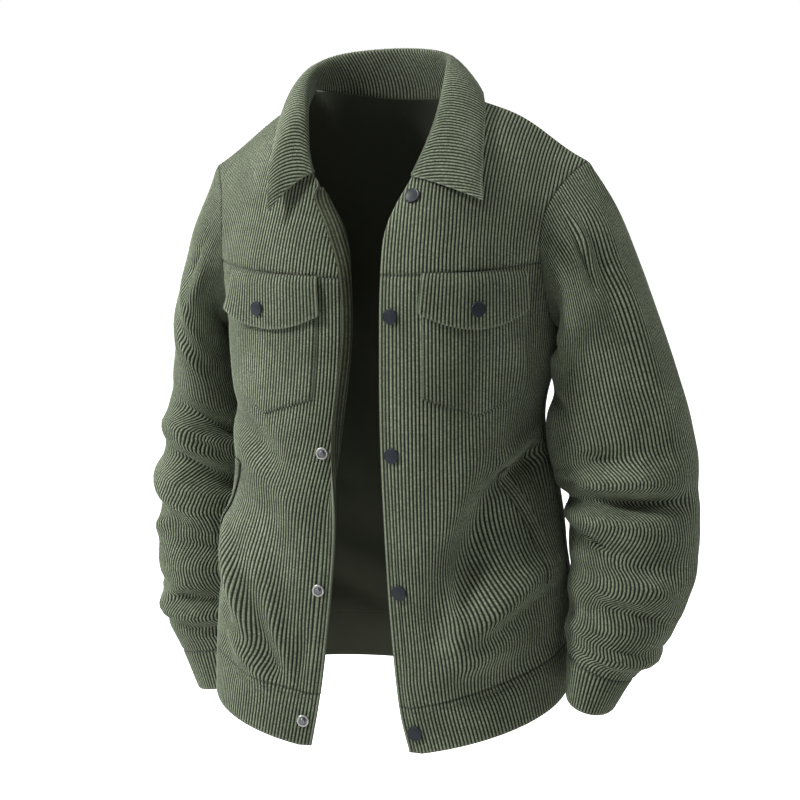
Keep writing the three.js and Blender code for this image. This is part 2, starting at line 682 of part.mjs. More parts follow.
function backWall(from, to, seams) {
  const levels = rowLevels(from, to);
  const shares = backShares();
  const turnOf = (level) => 1 - (level - UNDERARM_LEVEL) / (SHOULDER_LEVEL - UNDERARM_LEVEL) / 2;
  const normal = (i, j) => {
    const [s, level] = [shares[i], levels[j]];
    const side = Math.sign(s);
    if (Math.abs(s) === 1 && level >= UNDERARM_LEVEL)
      return armholeNormal(side, turnOf(level));
    if (level === SHOULDER_LEVEL && Math.abs(s) > NECK_SHARE - 1e-6)
      return shoulderNormal(side, (Math.abs(s) - NECK_SHARE) / (1 - NECK_SHARE));
    const steady = Math.min(level, SHOULDER_LEVEL - 2 * STEP);
    return normalOf(backPoint, clamp(s, -1 + 2 * STEP, 1 - 2 * STEP), steady, -1);
  };
  return wall(
    shares.length - 1,
    levels.length - 1,
    (i, j) => backPoint(shares[i], levels[j]),
    normal,
    CLOTH,
    seams,
    (i, j, across) =>
      across && levels[j] >= UNDERARM_LEVEL
        ? armholeAway(Math.sign(shares[i]), turnOf(levels[j])).negate()
        : null,
  );
}

function sleeveWall(side, fromTurn, toTurn) {
  const columns = Math.round((toTurn - fromTurn) * SLEEVE_AROUND);
  const turn = (i) => fromTurn + i / SLEEVE_AROUND;
  const ring = (j) => (j / SLEEVE_ROWS) * CUFF_SEAM;
  return wall(
    columns,
    SLEEVE_ROWS,
    (i, j) => sleevePoint(side, turn(i), ring(j)),
    (i, j) =>
      j === 0
        ? armholeNormal(side, turn(i))
        : normalOf((a, b) => sleevePoint(side, a, b), turn(i), ring(j), -side),
    CLOTH,
    "start end bottom top",
    (i, j, across) => (j === 0 && !across ? armholeAway(side, turn(i)) : null),
  );
}

// A cuff is a closed band, so its first and last columns are one.
function cuffWall(side) {
  const rings = [CUFF_SEAM, (CUFF_SEAM + CUFF_END) / 2, CUFF_END];
  const position = [];
  const index = [];
  const surface = (a, b) => sleevePoint(side, a, b);
  const count = SLEEVE_AROUND;
  for (const reach of [CLOTH / 2, -CLOTH / 2])
    rings.forEach((ring, j) => {
      for (let i = 0; i < count; i += 1) {
        const turn = i / count;
        const p = surface(turn, ring);
        if (j === 0) p.addScaledVector(surface(turn, rings[1]).sub(p).normalize(), SEAM_GAP / 2);
        const steady = Math.min(ring, CUFF_END - 2 * STEP);
        position.push(...p.addScaledVector(normalOf(surface, turn, steady, -side), reach).toArray());
      }
    });
  const at = (i, j, inner) => (inner * rings.length + j) * count + (i % count);
  const quad = (a, b, c, d) => index.push(a, b, c, a, c, d);
  for (let i = 0; i < count; i += 1) {
    for (let j = 0; j < rings.length - 1; j += 1) {
      quad(at(i, j, 0), at(i + 1, j, 0), at(i + 1, j + 1, 0), at(i, j + 1, 0));
      quad(at(i, j, 1), at(i, j + 1, 1), at(i + 1, j + 1, 1), at(i + 1, j, 1));
    }
    const last = rings.length - 1;
    quad(at(i, 0, 0), at(i, 0, 1), at(i + 1, 0, 1), at(i + 1, 0, 0));
    quad(at(i + 1, last, 0), at(i + 1, last, 1), at(i, last, 1), at(i, last, 0));
  }
  return solid(position, index);
}

function collarWall() {
  const rows = STAND_ROWS + LEAF_ROWS;
  const height = (j) => (j <= STAND_ROWS ? j / STAND_ROWS : 1 + (j - STAND_ROWS) / LEAF_ROWS);
  const round = (i) => i / COLLAR_COLUMNS;
  const steady = (value, low, high) => clamp(value, low + 2 * STEP, high - 2 * STEP);
  return wall(
    COLLAR_COLUMNS,
    rows,
    (i, j) => collarPoint(round(i), height(j)),
    (i, j) => normalOf(collarPoint, steady(round(i), 0, 1), steady(height(j), 0, 2), -1),
    COLLAR_CLOTH,
  );
}

// The share of a front row that lies a given distance across from its edge.
function shareAcross(side, distance, level) {
  const pieces = 80;
  let gone = 0;
  let last = frontPoint(side, -1, level);
  for (let k = 1; k <= pieces; k += 1) {
    const next = frontPoint(side, (2 * k) / pieces - 1, level);
    const step = next.distanceTo(last);
    if (gone + step >= distance) return (2 * (k - 1 + (distance - gone) / step)) / pieces - 1;
    gone += step;
    last = next;
  }
  return 1;
}

// The level at which a front's rows pass a height, at a given share across.
function levelAt(side, share, z) {
  let [low, high] = [WAISTBAND_LEVEL, SHOULDER_LEVEL];
  for (let k = 0; k < 30; k += 1) {
    const middle = (low + high) / 2;
    if (smoothFront(side, share, middle).z < z) low = middle;
    else high = middle;
  }
  return (low + high) / 2;
}

// A place on a front, a distance across from the edge and at a height, moved out from the cloth.
function onFront(side, across, z, out) {
  let level = levelAt(side, 0.4, z);
  let share = 0;
  for (let k = 0; k < 3; k += 1) {
    share = shareAcross(side, across, level);
    level = levelAt(side, share, z);
  }
  const surface = (a, b) => frontPoint(side, a, b);
  const normal = normalOf(surface, clamp(share, 2 * STEP, 1 - 2 * STEP), level, side);
  return { point: surface(share, level).addScaledVector(normal, out), normal };
}

// A patch on a front: place(a, b) gives its distance across, its height and how far it stands off.
function patchWall(side, columns, rows, place, thickness) {
  const found = new Map();
  const get = (i, j) => {
    const key = j * (columns + 1) + i;
    if (!found.has(key)) {
      const { across, z, out } = place(i / columns, j / rows);
      found.set(key, onFront(side, across, z, out));
    }
    return found.get(key);
  };
  return wall(columns, rows, (i, j) => get(i, j).point.clone(), (i, j) => get(i, j).normal, thickness);
}

const yokeHeight = (side, share) => smoothFront(side, share, YOKE_LEVEL).z;
const PATCH_OUT = CLOTH / 2 + SEAM_GAP + 0.3 + PATCH_CLOTH / 2;

function pocketWall(side) {
  return patchWall(
    side,
    8,
    8,
    (a, b) => {
      const top = yokeHeight(side, 0.6) - POCKET.top;
      const drop = POCKET.side + (POCKET.point - POCKET.side) * (1 - Math.abs(2 * a - 1));
      return {
        across: POCKET.from + POCKET.width * a,
        z: top - (drop - POCKET.top) * (1 - b),
        out: PATCH_OUT,
      };
    },
    PATCH_CLOTH,
  );
}

function flapWall(side) {
  return patchWall(
    side,
    10,
    4,
    (a, b) => {
      const bow = 1 - (2 * a - 1) ** 2;
      const drop = FLAP.side + (FLAP.point - FLAP.side) * bow;
      const down = 1 - b;
      const corner = FLAP_LIFT[side] * smoothstep(a, 0.55, 1) * down ** 1.5;
      return {
        across: FLAP.from + FLAP.width * a + FLAP.flare * down * (2 * a - 1),
        z: yokeHeight(side, 0.6) - 1.2 - drop * down,
        out: PATCH_OUT + (PATCH_CLOTH + 0.85) * smoothstep(down, 0, 0.2) + 2 * down + corner,
      };
    },
    PATCH_CLOTH,
  );
}

function weltWall(side) {
  const [across0, z0, across1, z1] = HAND_POCKET[side];
  const length = Math.hypot(across1 - across0, z1 - z0);
  const [alongX, alongZ] = [(across1 - across0) / length, (z1 - z0) / length];
  return patchWall(
    side,
    2,
    9,
    (a, b) => {
      const bow = 7 * Math.sin(Math.PI * b);
      const off = (a - 0.5) * WELT_WIDTH + bow;
      return {
        across: across0 + (across1 - across0) * b - alongZ * off,
        z: z0 + (z1 - z0) * b + alongX * off,
        out: PATCH_OUT + WELT_LIFT[side],
      };
    },
    PATCH_CLOTH,
  );
}

// A strip inside the front edge, from the hem to the neck, on the front's own grid.
function facingWall(side) {
  const levels = rowLevels(HEM_SEAM_LEVEL, NECK_LEVEL - 0.25);
  const shares = frontShares(side).filter((s) => s < FACING_SHARE + 1e-6);
  const surface = (a, b) => frontPoint(side, a, b);
  const inset = -(CLOTH / 2 + FACING_GAP + PATCH_CLOTH / 2);
  const normal = (i, j) => normalOf(surface, Math.max(shares[i], 2 * STEP - 1), levels[j], side);
  return wall(
    shares.length - 1,
    levels.length - 1,
    (i, j) => surface(shares[i], levels[j]).addScaledVector(normal(i, j), inset),
    normal,
    PATCH_CLOTH,
    "bottom",
  );
}

// A turned disc standing on a place, its profile given as radius and height pairs from the cloth up.
function disc(profile, place, lift) {
  const geometry = new THREE.LatheGeometry(
    profile.map(([radius, height]) => new THREE.Vector2(radius, height)),
    14,
  );
  const turn = new THREE.Quaternion().setFromUnitVectors(vec(0, 1, 0), place.normal);
  geometry.applyQuaternion(turn);
  const { x, y, z } = place.point.clone().addScaledVector(place.normal, lift);
  return geometry.translate(x, y, z);
}

const CAP_PROFILE = [
  [0, 0],
  [SNAP_RADIUS - 0.8, 0],
  [SNAP_RADIUS, 0.8],
  [SNAP_RADIUS - 0.4, 2],
  [0, 2.7],
];
const STUD_PROFILE = [
  [0, 0],
  [STUD_RADIUS, 0],
  [STUD_RADIUS, 1],
  [STUD_RADIUS * 0.5, 1.4],
  [STUD_RADIUS * 0.42, 3.2],
  [0, 3.6],
];

function edgePlace(side, row) {
  const [level, across] = ["level", "across"].map((name) => row[SNAP_COLUMNS.indexOf(name)]);
  const share = shareAcross(side, across, level);
  const surface = (a, b) => frontPoint(side, a, b);
  return { point: surface(share, level), normal: normalOf(surface, share, level, side) };
}

function flapSnap(side) {
  const across = FLAP.from + FLAP.width * FLAP_SNAP_SHARE[side];
  const z = yokeHeight(side, 0.6) - FLAP.point * 0.66;
  return onFront(side, across, z, PATCH_OUT + PATCH_CLOTH + FLAP_SNAP_LIFT[side]);
}

const jacket = new THREE.Group();
jacket.name = "corduroy_jacket";

const CORDUROY = { color: 0x55604a, roughness: 0.95, metalness: 0 };
const ENAMEL = { color: 0x3c424b, roughness: 0.45, metalness: 0.1 };
const NICKEL = { color: 0xc9c9c6, roughness: 0.25, metalness: 1 };

function add(name, geometry, finish) {
  const mesh = new THREE.Mesh(geometry, new THREE.MeshStandardMaterial(finish));
  mesh.name = name;
  jacket.add(mesh);
}

const SIDE_NAMES = { 1: "left", "-1": "right" }; // as the wearer has them
for (const side of [1, -1]) {
  const name = SIDE_NAMES[side];
  add(`front_${name}`, frontWall(side, HEM_SEAM_LEVEL, YOKE_LEVEL, "end bottom top"), CORDUROY);
  add(`yoke_${name}`, frontWall(side, YOKE_LEVEL, SHOULDER_LEVEL, "end bottom top"), CORDUROY);
  add(`waistband_${name}`, frontWall(side, WAISTBAND_LEVEL, HEM_SEAM_LEVEL, "end top"), CORDUROY);
  add(`sleeve_top_${name}`, sleeveWall(side, 0, 0.625), CORDUROY);
  add(`sleeve_under_${name}`, sleeveWall(side, 0.625, 1), CORDUROY);
  add(`cuff_${name}`, cuffWall(side), CORDUROY);
  add(`chest_pocket_${name}`, pocketWall(side), CORDUROY);
  add(`pocket_flap_${name}`, flapWall(side), CORDUROY);
  add(`pocket_welt_${name}`, weltWall(side), CORDUROY);
  add(`facing_${name}`, facingWall(side), CORDUROY);
  add(`flap_snap_${name}`, disc(CAP_PROFILE, flapSnap(side), 0), ENAMEL);
}
add("back", backWall(HEM_SEAM_LEVEL, SHOULDER_LEVEL, "start end bottom top"), CORDUROY);
add("waistband_back", backWall(WAISTBAND_LEVEL, HEM_SEAM_LEVEL, "start end top"), CORDUROY);
add("collar", collarWall(), CORDUROY);
const offOf = (row) => row[SNAP_COLUMNS.indexOf("off")];
SNAP_CAPS.forEach((row, k) => {
  add(`snap_cap_${k + 1}`, disc(CAP_PROFILE, edgePlace(1, row), offOf(row)), ENAMEL);
});
SNAP_STUDS.forEach((row, k) => {
  add(`snap_stud_${k + FIRST_STUD}`, disc(STUD_PROFILE, edgePlace(-1, row), offOf(row)), NICKEL);
});

export default jacket;
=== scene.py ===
"""A wide-wale corduroy jacket, open at the front and filled out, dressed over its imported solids.

Each cut piece of cloth is a grid of wales laid on the surface of its solid: a column runs along each
rib, so the ribs keep their pitch, bend with the folds and run off at the shaped edges. Lengths are in
millimetres until a mesh is written. +Z is up, the open front faces -Y, +X is the wearer's left.
"""

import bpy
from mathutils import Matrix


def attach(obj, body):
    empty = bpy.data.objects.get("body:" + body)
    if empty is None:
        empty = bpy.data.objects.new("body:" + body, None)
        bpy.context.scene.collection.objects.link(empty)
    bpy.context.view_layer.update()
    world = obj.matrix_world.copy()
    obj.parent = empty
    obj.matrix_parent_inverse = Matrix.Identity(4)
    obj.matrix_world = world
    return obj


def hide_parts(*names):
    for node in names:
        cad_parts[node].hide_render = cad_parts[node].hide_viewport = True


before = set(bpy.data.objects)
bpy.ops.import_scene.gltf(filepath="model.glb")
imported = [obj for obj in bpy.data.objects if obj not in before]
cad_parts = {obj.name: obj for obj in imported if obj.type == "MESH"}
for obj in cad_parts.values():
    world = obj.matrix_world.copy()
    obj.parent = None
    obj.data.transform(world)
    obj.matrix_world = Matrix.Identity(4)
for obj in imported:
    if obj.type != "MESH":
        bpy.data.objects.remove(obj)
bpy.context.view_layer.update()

import logging
import math
from dataclasses import dataclass, field
from enum import Enum
from typing import Callable

import bmesh
import bpy
import numpy as np
from mathutils import Matrix, Vector

log = logging.getLogger("jacket")

Array = np.ndarray
Surface = Callable[[Array, Array], Array]

MM = 0.001
STEP = 1e-3
HANDLE = 0.385
WAISTBAND_LEVEL = -1.0
HEM_LEVEL = 0.0
UNDERARM_LEVEL = 4.0
YOKE_LEVEL = 5.0
NECK_LEVEL = 7.0
SHOULDER_LEVEL = 10.0
CUFF_SEAM = 11.0
CUFF_END = 12.0
SLEEVE_SEAM = 0.625
EDGE_ROLL_RADIUS = 3.6
LOWER_SHOULDER = 13.0
NECK_SHARE = 0.36
BACK_RISE_FROM = 6.0
ARMHOLE_REACH = 2.6
ROLL_RADIUS = 8.0
STAND_LIFT = 2.15
FACING_SHARE = 0.2
WALE_PITCH = 3.8
SAMPLES_ACROSS = 321
SAMPLES_ALONG = 401


class Side(Enum):
    """The two halves of the jacket, as the wearer has them."""

    LEFT = 1
    RIGHT = -1

    @property
    def label(self) -> str:
        """The half's name in the names of its pieces."""
        return self.name.lower()


class Edge(Enum):
    """The four edges of a cut piece, by how its grid runs."""

    START = "start"
    END = "end"
    BOTTOM = "bottom"
    TOP = "top"


class Held(Enum):
    """How a piece of cloth is held."""

    HUNG = "hung"
    FOLDED = "folded"
    LAID = "laid"


def smoothstep(x: Array, low: float, high: float) -> Array:
    """Returns a soft step of x from 0 at low to 1 at high."""
    t = np.clip((x - low) / (high - low), 0, 1)
    return t * t * (3 - 2 * t)


def unit(vectors: Array) -> Array:
    """Returns the vectors at length 1."""
    return vectors / np.maximum(np.linalg.norm(vectors, axis=-1, keepdims=True), 1e-12)


def bezier(a: Array, b: Array, c: Array, d: Array, t: Array) -> Array:
    """Places points on a cubic curve.

    Args:
        a, b, c, d: The curve's four control points, each an array of points.
        t: Where on the curve, from 0 to 1.

    Returns:
        One point for each t.
    """
    t = t[..., None]
    u = 1 - t
    return a * u**3 + b * 3 * u * u * t + c * 3 * u * t * t + d * t**3


def normal_of(surface: Surface, s: Array, v: Array, way: float) -> Array:
    """Finds the way out of a surface, from short steps along both of its parameters.

    Args:
        surface: Gives a point for a share across and a level up.
        s: Shares across.
        v: Levels up.
        way: 1, or -1 where the grid runs the other way round.

    Returns:
        One vector of length 1 for each place.
    """
    across = surface(s + STEP, v) - surface(s - STEP, v)
    up = surface(s, v + STEP) - surface(s, v - STEP)
    return unit(np.cross(across, up)) * way


@dataclass(frozen=True)
class Sections:
    """A table of sections with a smooth curve through its rows. The first column is the key."""

    names: tuple[str, ...]
    rows: tuple[tuple[float, ...], ...]

    def value(self, name: str, key: Array) -> Array:
        """Reads one column along the curve.

        Args:
            name: The column.
            key: Where to read it.

        Returns:
            The column's value at each key.
        """
        table = np.array(self.rows, float)
        keys, column = table[:, 0], table[:, self.names.index(name)]
        last = len(keys) - 1
        low = np.maximum(np.arange(last + 1) - 1, 0)
        high = np.minimum(np.arange(last + 1) + 1, last)
        slope = (column[high] - column[low]) / (keys[high] - keys[low])
        i = np.clip(np.searchsorted(keys, key, side="left") - 1, 0, last - 1)
        span = keys[i + 1] - keys[i]
        t = np.clip((key - keys[i]) / span, 0, 1)
        t2, t3 = t * t, t * t * t
        start = (2 * t3 - 3 * t2 + 1) * column[i] + (t3 - 2 * t2 + t) * span * slope[i]
        end = (3 * t2 - 2 * t3) * column[i + 1] + (t3 - t2) * span * slope[i + 1]
        return start + end

    def point(self, key: Array, names: str = "xyz") -> Array:
        """Returns three columns together as points."""
        return np.stack([self.value(name, key) for name in names], -1)


@dataclass(frozen=True)
class Fold:
    """A soft ridge or trough of the body between two places seen from the front."""

    x0: float
    z0: float
    x1: float
    z1: float
    width: float
    height: float
    lean: float = 1.0  # how much wider the fold is on the side that looks down or out

    def rise(self, x: Array, z: Array) -> Array:
        """Measures the fold's height.

        Args:
            x: Places across.
            z: Places up.

        Returns:
            The height at each place.
        """
        dx, dz = self.x1 - self.x0, self.z1 - self.z0
        t = np.clip(((x - self.x0) * dx + (z - self.z0) * dz) / (dx * dx + dz * dz), 0, 1)
        off_x, off_z = x - self.x0 - t * dx, z - self.z0 - t * dz
        beyond = off_x * -dz + off_z * dx > 0
        width = np.where(beyond, self.width * self.lean, self.width)
        swell = 0.45 + 0.55 * np.sin(np.pi * t)
        return self.height * swell * np.exp(-(off_x**2 + off_z**2) / width**2)


@dataclass(frozen=True)
class SleeveFold:
    """A fold across a sleeve, at a ring and at an angle round it (0 outer, 90 front, 180 inner)."""

    ring: float
    angle: float
    span: float
    climb: float
    width: float
    height: float
    lean: float = 1.0  # how much wider the fold is on its lower side

    def rise(self, angle: Array, ring: Array) -> Array:
        """Measures the fold's height.

        Args:
            angle: Degrees round the sleeve.
            ring: Places down the sleeve.

        Returns:
            The height at each place.
        """
        off = np.mod(angle - self.angle + 180, 360) - 180
        down = ring - self.ring - self.climb * off / 90
        width = np.where(down > 0, self.width * self.lean, self.width)
        return self.height * np.exp(-((down / width) ** 2) - (off / self.span) ** 2)


@dataclass(frozen=True)
class Crease:
    """A fold of a sleeve between two places on it, each an angle round it and a ring down it."""

    angle0: float
    ring0: float
    angle1: float
    ring1: float
    width: float
    height: float
    lean: float = 1.0
    degree: float = 1.1  # millimetres round the sleeve for each degree
    step: float = 47.0  # millimetres down it for each ring

    def rise(self, angle: Array, ring: Array) -> Array:
        """Measures the crease's height.

        Args:
            angle: Degrees round the sleeve, from -180 to 180.
            ring: Places down the sleeve.

        Returns:
            The height at each place.
        """
        k, d = self.degree, -self.step
        start, end = (self.angle0 * k, self.ring0 * d), (self.angle1 * k, self.ring1 * d)
        fold = Fold(*start, *end, self.width, self.height, self.lean)
        return fold.rise(angle * k, ring * d)


EDGE_NAMES = ("level", "x", "y", "z", "turn", "strip", "roll")
SEAM_NAMES = ("level", "x", "y", "z")
SLEEVE_NAMES = ("ring", "x_in", "z_in", "x_out", "z_out", "y_mid", "depth")

SHOULDER_CROWN = {Side.LEFT: 9, Side.RIGHT: 2}
FRONT_EDGE = {
    Side.LEFT: Sections(
        EDGE_NAMES,
        (
            (-1, 70, -141, -676, 4, 14, 0),
            (0, 58, -139, -628, 4, 14, 0),
            (1, 50, -145, -535, 6, 14, 0),
            (2, 45, -149, -440, 6, 14, 0),
            (3, 41, -150, -345, 6, 14, 0),
            (4, 40, -150, -250, 7, 14, 0),
            (5, 40, -146, -177, 9, 14, 0),
            (6, 44, -137, -128, 12, 14, 0),
            (7, 54, -113, -82, 12, 5, 0),
            (8, 66, -82, -48, 10, 2, 0),
            (9, 72, -46, -18, 4, 1.2, 0),
            (10, 75, -10, 0, 0, 0.5, 0),
        ),
    ),
    Side.RIGHT: Sections(
        EDGE_NAMES,
        (
            (-1, 66, -140, -680, 6, 14, 0),
            (0, 57, -137, -624, 8, 14, 0),
            (1, 48, -136, -542, 12, 15, 4),
            (2, 38, -135, -445, 14, 16, 24),
            (3, 24, -135, -350, 14, 16, 100),
            (4, 13, -134, -255, 14, 14, 160),
            (5, 14, -130, -184, 14, 15, 172),
            (6, 22, -122, -139, 14, 21, 176),
            (6.6, 44, -110, -104, 13, 18, 170),
            (7, 60, -104, -82, 12, 3, 0),
            (8, 77, -80, -46, 10, 2, 0),
            (9, 85, -46, -18, 4, 1.2, 0),
            (10, 88, -10, 0, 0, 0.5, 0),
        ),
    ),
}
SIDE_SEAM = {
    Side.LEFT: Sections(
        SEAM_NAMES,
        (
            (-1, 198, -28, -628),
            (0, 197, -28, -573),
            (1, 195, -27, -500),
            (2, 182, -22, -418),
            (3, 163, -14, -335),
            (4, 184, -2, -245),
        ),
    ),
    Side.RIGHT: Sections(
        SEAM_NAMES,
        (
            (-1, 190, -42, -643),
            (0, 189, -42, -590),
            (1, 186, -42, -522),
            (2, 160, -36, -436),
            (3, 170, -22, -340),
            (4, 184, -2, -245),
        ),
    ),
}
FRONT_ARMHOLE = Sections(
    SEAM_NAMES,
    (
        (4, 184, -2, -245),
        (4.5, 178, -40, -226),
        (5, 173, -66, -168),
        (6, 173, -68, -134),
        (7, 177, -58, -112),
        (8, 184, -40, -95),
        (9, 194, -18, -80),
        (10, 205, 4, -69),
    ),
)
BACK_ARMHOLE = Sections(
    SEAM_NAMES,
    (
        (4, 184, -2, -245),
        (4.5, 187, 36, -226),
        (5, 188, 66, -186),
        (6, 185, 82, -146),
        (7, 184, 79, -118),
        (8, 188, 62, -97),
        (9, 196, 34, -80),
        (10, 205, 4, -69),
    ),
)
ROW_END = Sections(
    ("level", "front", "back"),
    (
        (-1, 90, 90),
        (3, 90, 90),
        (4, 88, 88),
        (5, 58, 56),
        (6, 40, 40),
        (7, 34, 36),
        (8, 26, 30),
        (9, 15, 18),
        (10, 6, 6),
    ),
)
CENTRE_BACK = Sections(
    ("level", "y", "z"),
    (
        (-1, 128, -658),
        (0, 126, -606),
        (1, 141, -526),
        (2, 137, -436),
        (3, 129, -346),
        (4, 127, -252),
        (5, 125, -188),
        (6, 118, -142),
        (7, 107, -104),
        (8, 92, -68),
        (9, 73, -36),
        (10, 50, -9),
    ),
)
FRONT_FOLDS = {
    Side.LEFT: (
        Fold(190, -320, 84, -540, 32, -13),
        Fold(150, -330, 76, -480, 24, 5),
        Fold(196, -470, 66, -620, 24, 11),
        Fold(120, -620, 74, -520, 16, -4),
        Fold(185, -575, 130, -618, 14, -5),
    ),
    Side.RIGHT: (
        Fold(172, -400, 112, -600, 22, 11),
        Fold(150, -540, 70, -622, 18, -7),
        Fold(110, -370, 74, -570, 22, -5),
        Fold(188, -520, 150, -612, 15, -7),
    ),
}
BACK_FOLDS = (
    Fold(-150, -200, -60, -480, 26, -8),
    Fold(165, -210, 70, -440, 24, -7),
    Fold(-170, -490, 20, -590, 20, -8),
    Fold(175, -480, 30, -570, 20, -7),
    Fold(40, -310, 60, -550, 24, -5),
)
SLEEVE = {
    Side.LEFT: Sections(
        SLEEVE_NAMES,
        (
            (0, 184, -245, 205, -69, 2, 78),
            (1, 194, -254, 233, -112, 2, 78),
            (2, 189, -273, 256, -165, 1, 74),
            (3, 177, -300, 279, -221, -2, 68),
            (4, 170, -335, 303, -283, -8, 66),
            (5, 174, -371, 322, -341, -15, 64),
            (6, 187, -403, 332, -397, -21, 61),
            (7, 197, -440, 333, -449, -27, 59),
            (8, 202, -476, 330, -498, -35, 57),
            (9, 203, -510, 318, -540, -42, 54),
            (10, 204, -544, 298, -574, -50, 50),
            (11, 206, -572, 274, -600, -56, 43),
            (12, 208, -617, 255, -633, -66, 45),
        ),
    ),
    Side.RIGHT: Sections(
        SLEEVE_NAMES,
        (
            (0, 184, -245, 205, -69, 2, 78),
            (1, 195, -255, 222, -124, 6, 81),
            (2, 190, -278, 239, -178, 18, 82),
            (3, 187, -306, 250, -234, 30, 80),
            (4, 182, -342, 263, -289, 40, 78),
            (5, 176, -384, 277, -346, 49, 75),
            (6, 173, -428, 290, -404, 56, 72),
            (7, 174, -472, 299, -460, 62, 69),
            (8, 178, -516, 302, -520, 68, 65),
            (9, 183, -556, 302, -575, 74, 60),
            (10, 189, -598, 297, -618, 78, 54),
            (11, 194, -632, 284, -650, 80, 45),
            (12, 194, -680, 266, -696, 84, 42),
        ),
    ),
}
SLEEVE_FOLDS = {
    Side.LEFT: (
        SleeveFold(1.6, 60, 40, -0.9, 0.5, -4),
        SleeveFold(2.3, 135, 40, 0.2, 0.9, 13),
        SleeveFold(3.2, 150, 60, 0.8, 0.45, -6),
        SleeveFold(5.35, 110, 34, 0.35, 0.2, -7),
        SleeveFold(5.75, 95, 70, 0.2, 0.3, 8),
        SleeveFold(6.3, 105, 78, 0.1, 0.24, -15),
        SleeveFold(6.85, 80, 70, -0.3, 0.34, 7),
        SleeveFold(7.35, 125, 52, -0.35, 0.24, -10),
        SleeveFold(8.3, 70, 70, 0.5, 0.36, 6),
        SleeveFold(9.1, 110, 60, 0.6, 0.3, -6),
        SleeveFold(10.2, 30, 90, 0.3, 0.26, 6),
        SleeveFold(5.2, 250, 60, -0.5, 0.4, 6),
        SleeveFold(6.2, 255, 62, -0.3, 0.3, -8),
        SleeveFold(7.3, 240, 66, 0.3, 0.34, 6),
        SleeveFold(8.6, 250, 60, 0.4, 0.3, -6),
        SleeveFold(10.3, 220, 70, 0, 0.24, 5),
    ),
    Side.RIGHT: (
        SleeveFold(1.5, 70, 46, -0.8, 0.5, -5),
        SleeveFold(3.1, 40, 60, 1.0, 0.4, 5),
        SleeveFold(4.85, 110, 62, 0.15, 0.26, -14),
        SleeveFold(5.45, 80, 80, -0.3, 0.36, 8),
        SleeveFold(6.1, 105, 76, 0.25, 0.3, -16),
        SleeveFold(6.9, 60, 74, 0.7, 0.26, 9),
        SleeveFold(7.35, 95, 66, 0.25, 0.24, -11),
        SleeveFold(8.4, 90, 80, 0.1, 0.42, 6),
        SleeveFold(9.1, 70, 66, 0.55, 0.2, -8),
        SleeveFold(9.55, 50, 76, 0.5, 0.24, 9),
        SleeveFold(10.15, 90, 70, 0.2, 0.22, -6),
        SleeveFold(5.0, 250, 60, -0.4, 0.4, 6),
        SleeveFold(6.0, 255, 64, -0.2, 0.3, -9),
        SleeveFold(7.2, 245, 60, 0.3, 0.3, 6),
        SleeveFold(8.8, 250, 64, 0.3, 0.3, -6),
    ),
}
COLLAR = Sections(
    ("round", "rx", "ry", "rz", "lx", "ly", "lz"),
    (
        (0, -58, -109, -80, -99, -131, -120),
        (0.06, -67, -100, -55, -101, -125, -102),
        (0.14, -76, -82, -18, -104, -104, -66),
        (0.25, -90, -32, 16, -108, -42, -16),
        (0.37, -80, 28, 35, -100, 46, 0),
        (0.5, -22, 58, 43, -24, 88, -8),
        (0.63, 41, 33, 40, 67, 50, -2),
        (0.75, 60, -20, 24, 101, -22, -8),
        (0.86, 67, -78, -24, 118, -90, -62),
        (0.94, 60, -102, -56, 125, -118, -88),
        (1, 52, -116, -80, 129, -129, -101),
    ),
)


FINE_FRONT = {
    Side.LEFT: (
        Fold(178, -330, 132, -390, 8, 7.5, 1.6),
        Fold(184, -352, 138, -398, 10, -9),
        Fold(136, -390, 117, -520, 13, -10.5),
        Fold(112, -470, 104, -560, 9, 4.5),
        Fold(180, -484, 97, -556, 10, 7.5, 1.5),
        Fold(186, -505, 120, -560, 9, -6),
        Fold(165, -560, 60, -600, 10, 4),
        Fold(150, -250, 166, -330, 10, 4),
    ),
    Side.RIGHT: (
        Fold(170, -330, 96, -372, 12, -6),
        Fold(172, -352, 80, -420, 14, 6, 1.6),
        Fold(176, -425, 130, -560, 10, 7.5, 1.5),
        Fold(190, -450, 160, -560, 10, -7.5),
        Fold(140, -470, 96, -600, 10, -6),
        Fold(100, -520, 80, -600, 9, 4.5),
        Fold(176, -560, 100, -612, 9, 5),
        Fold(60, -560, 66, -616, 7, -4),
    ),
}
FINE_BACK = (
    Fold(-120, -230, -20, -330, 14, -4.5),
    Fold(130, -250, 30, -340, 14, -4.5),
    Fold(-170, -380, -90, -450, 12, 6),
    Fold(178, -390, 96, -440, 12, 6),
    Fold(-150, -540, -60, -590, 10, 6),
    Fold(160, -530, 80, -590, 10, 6),
)
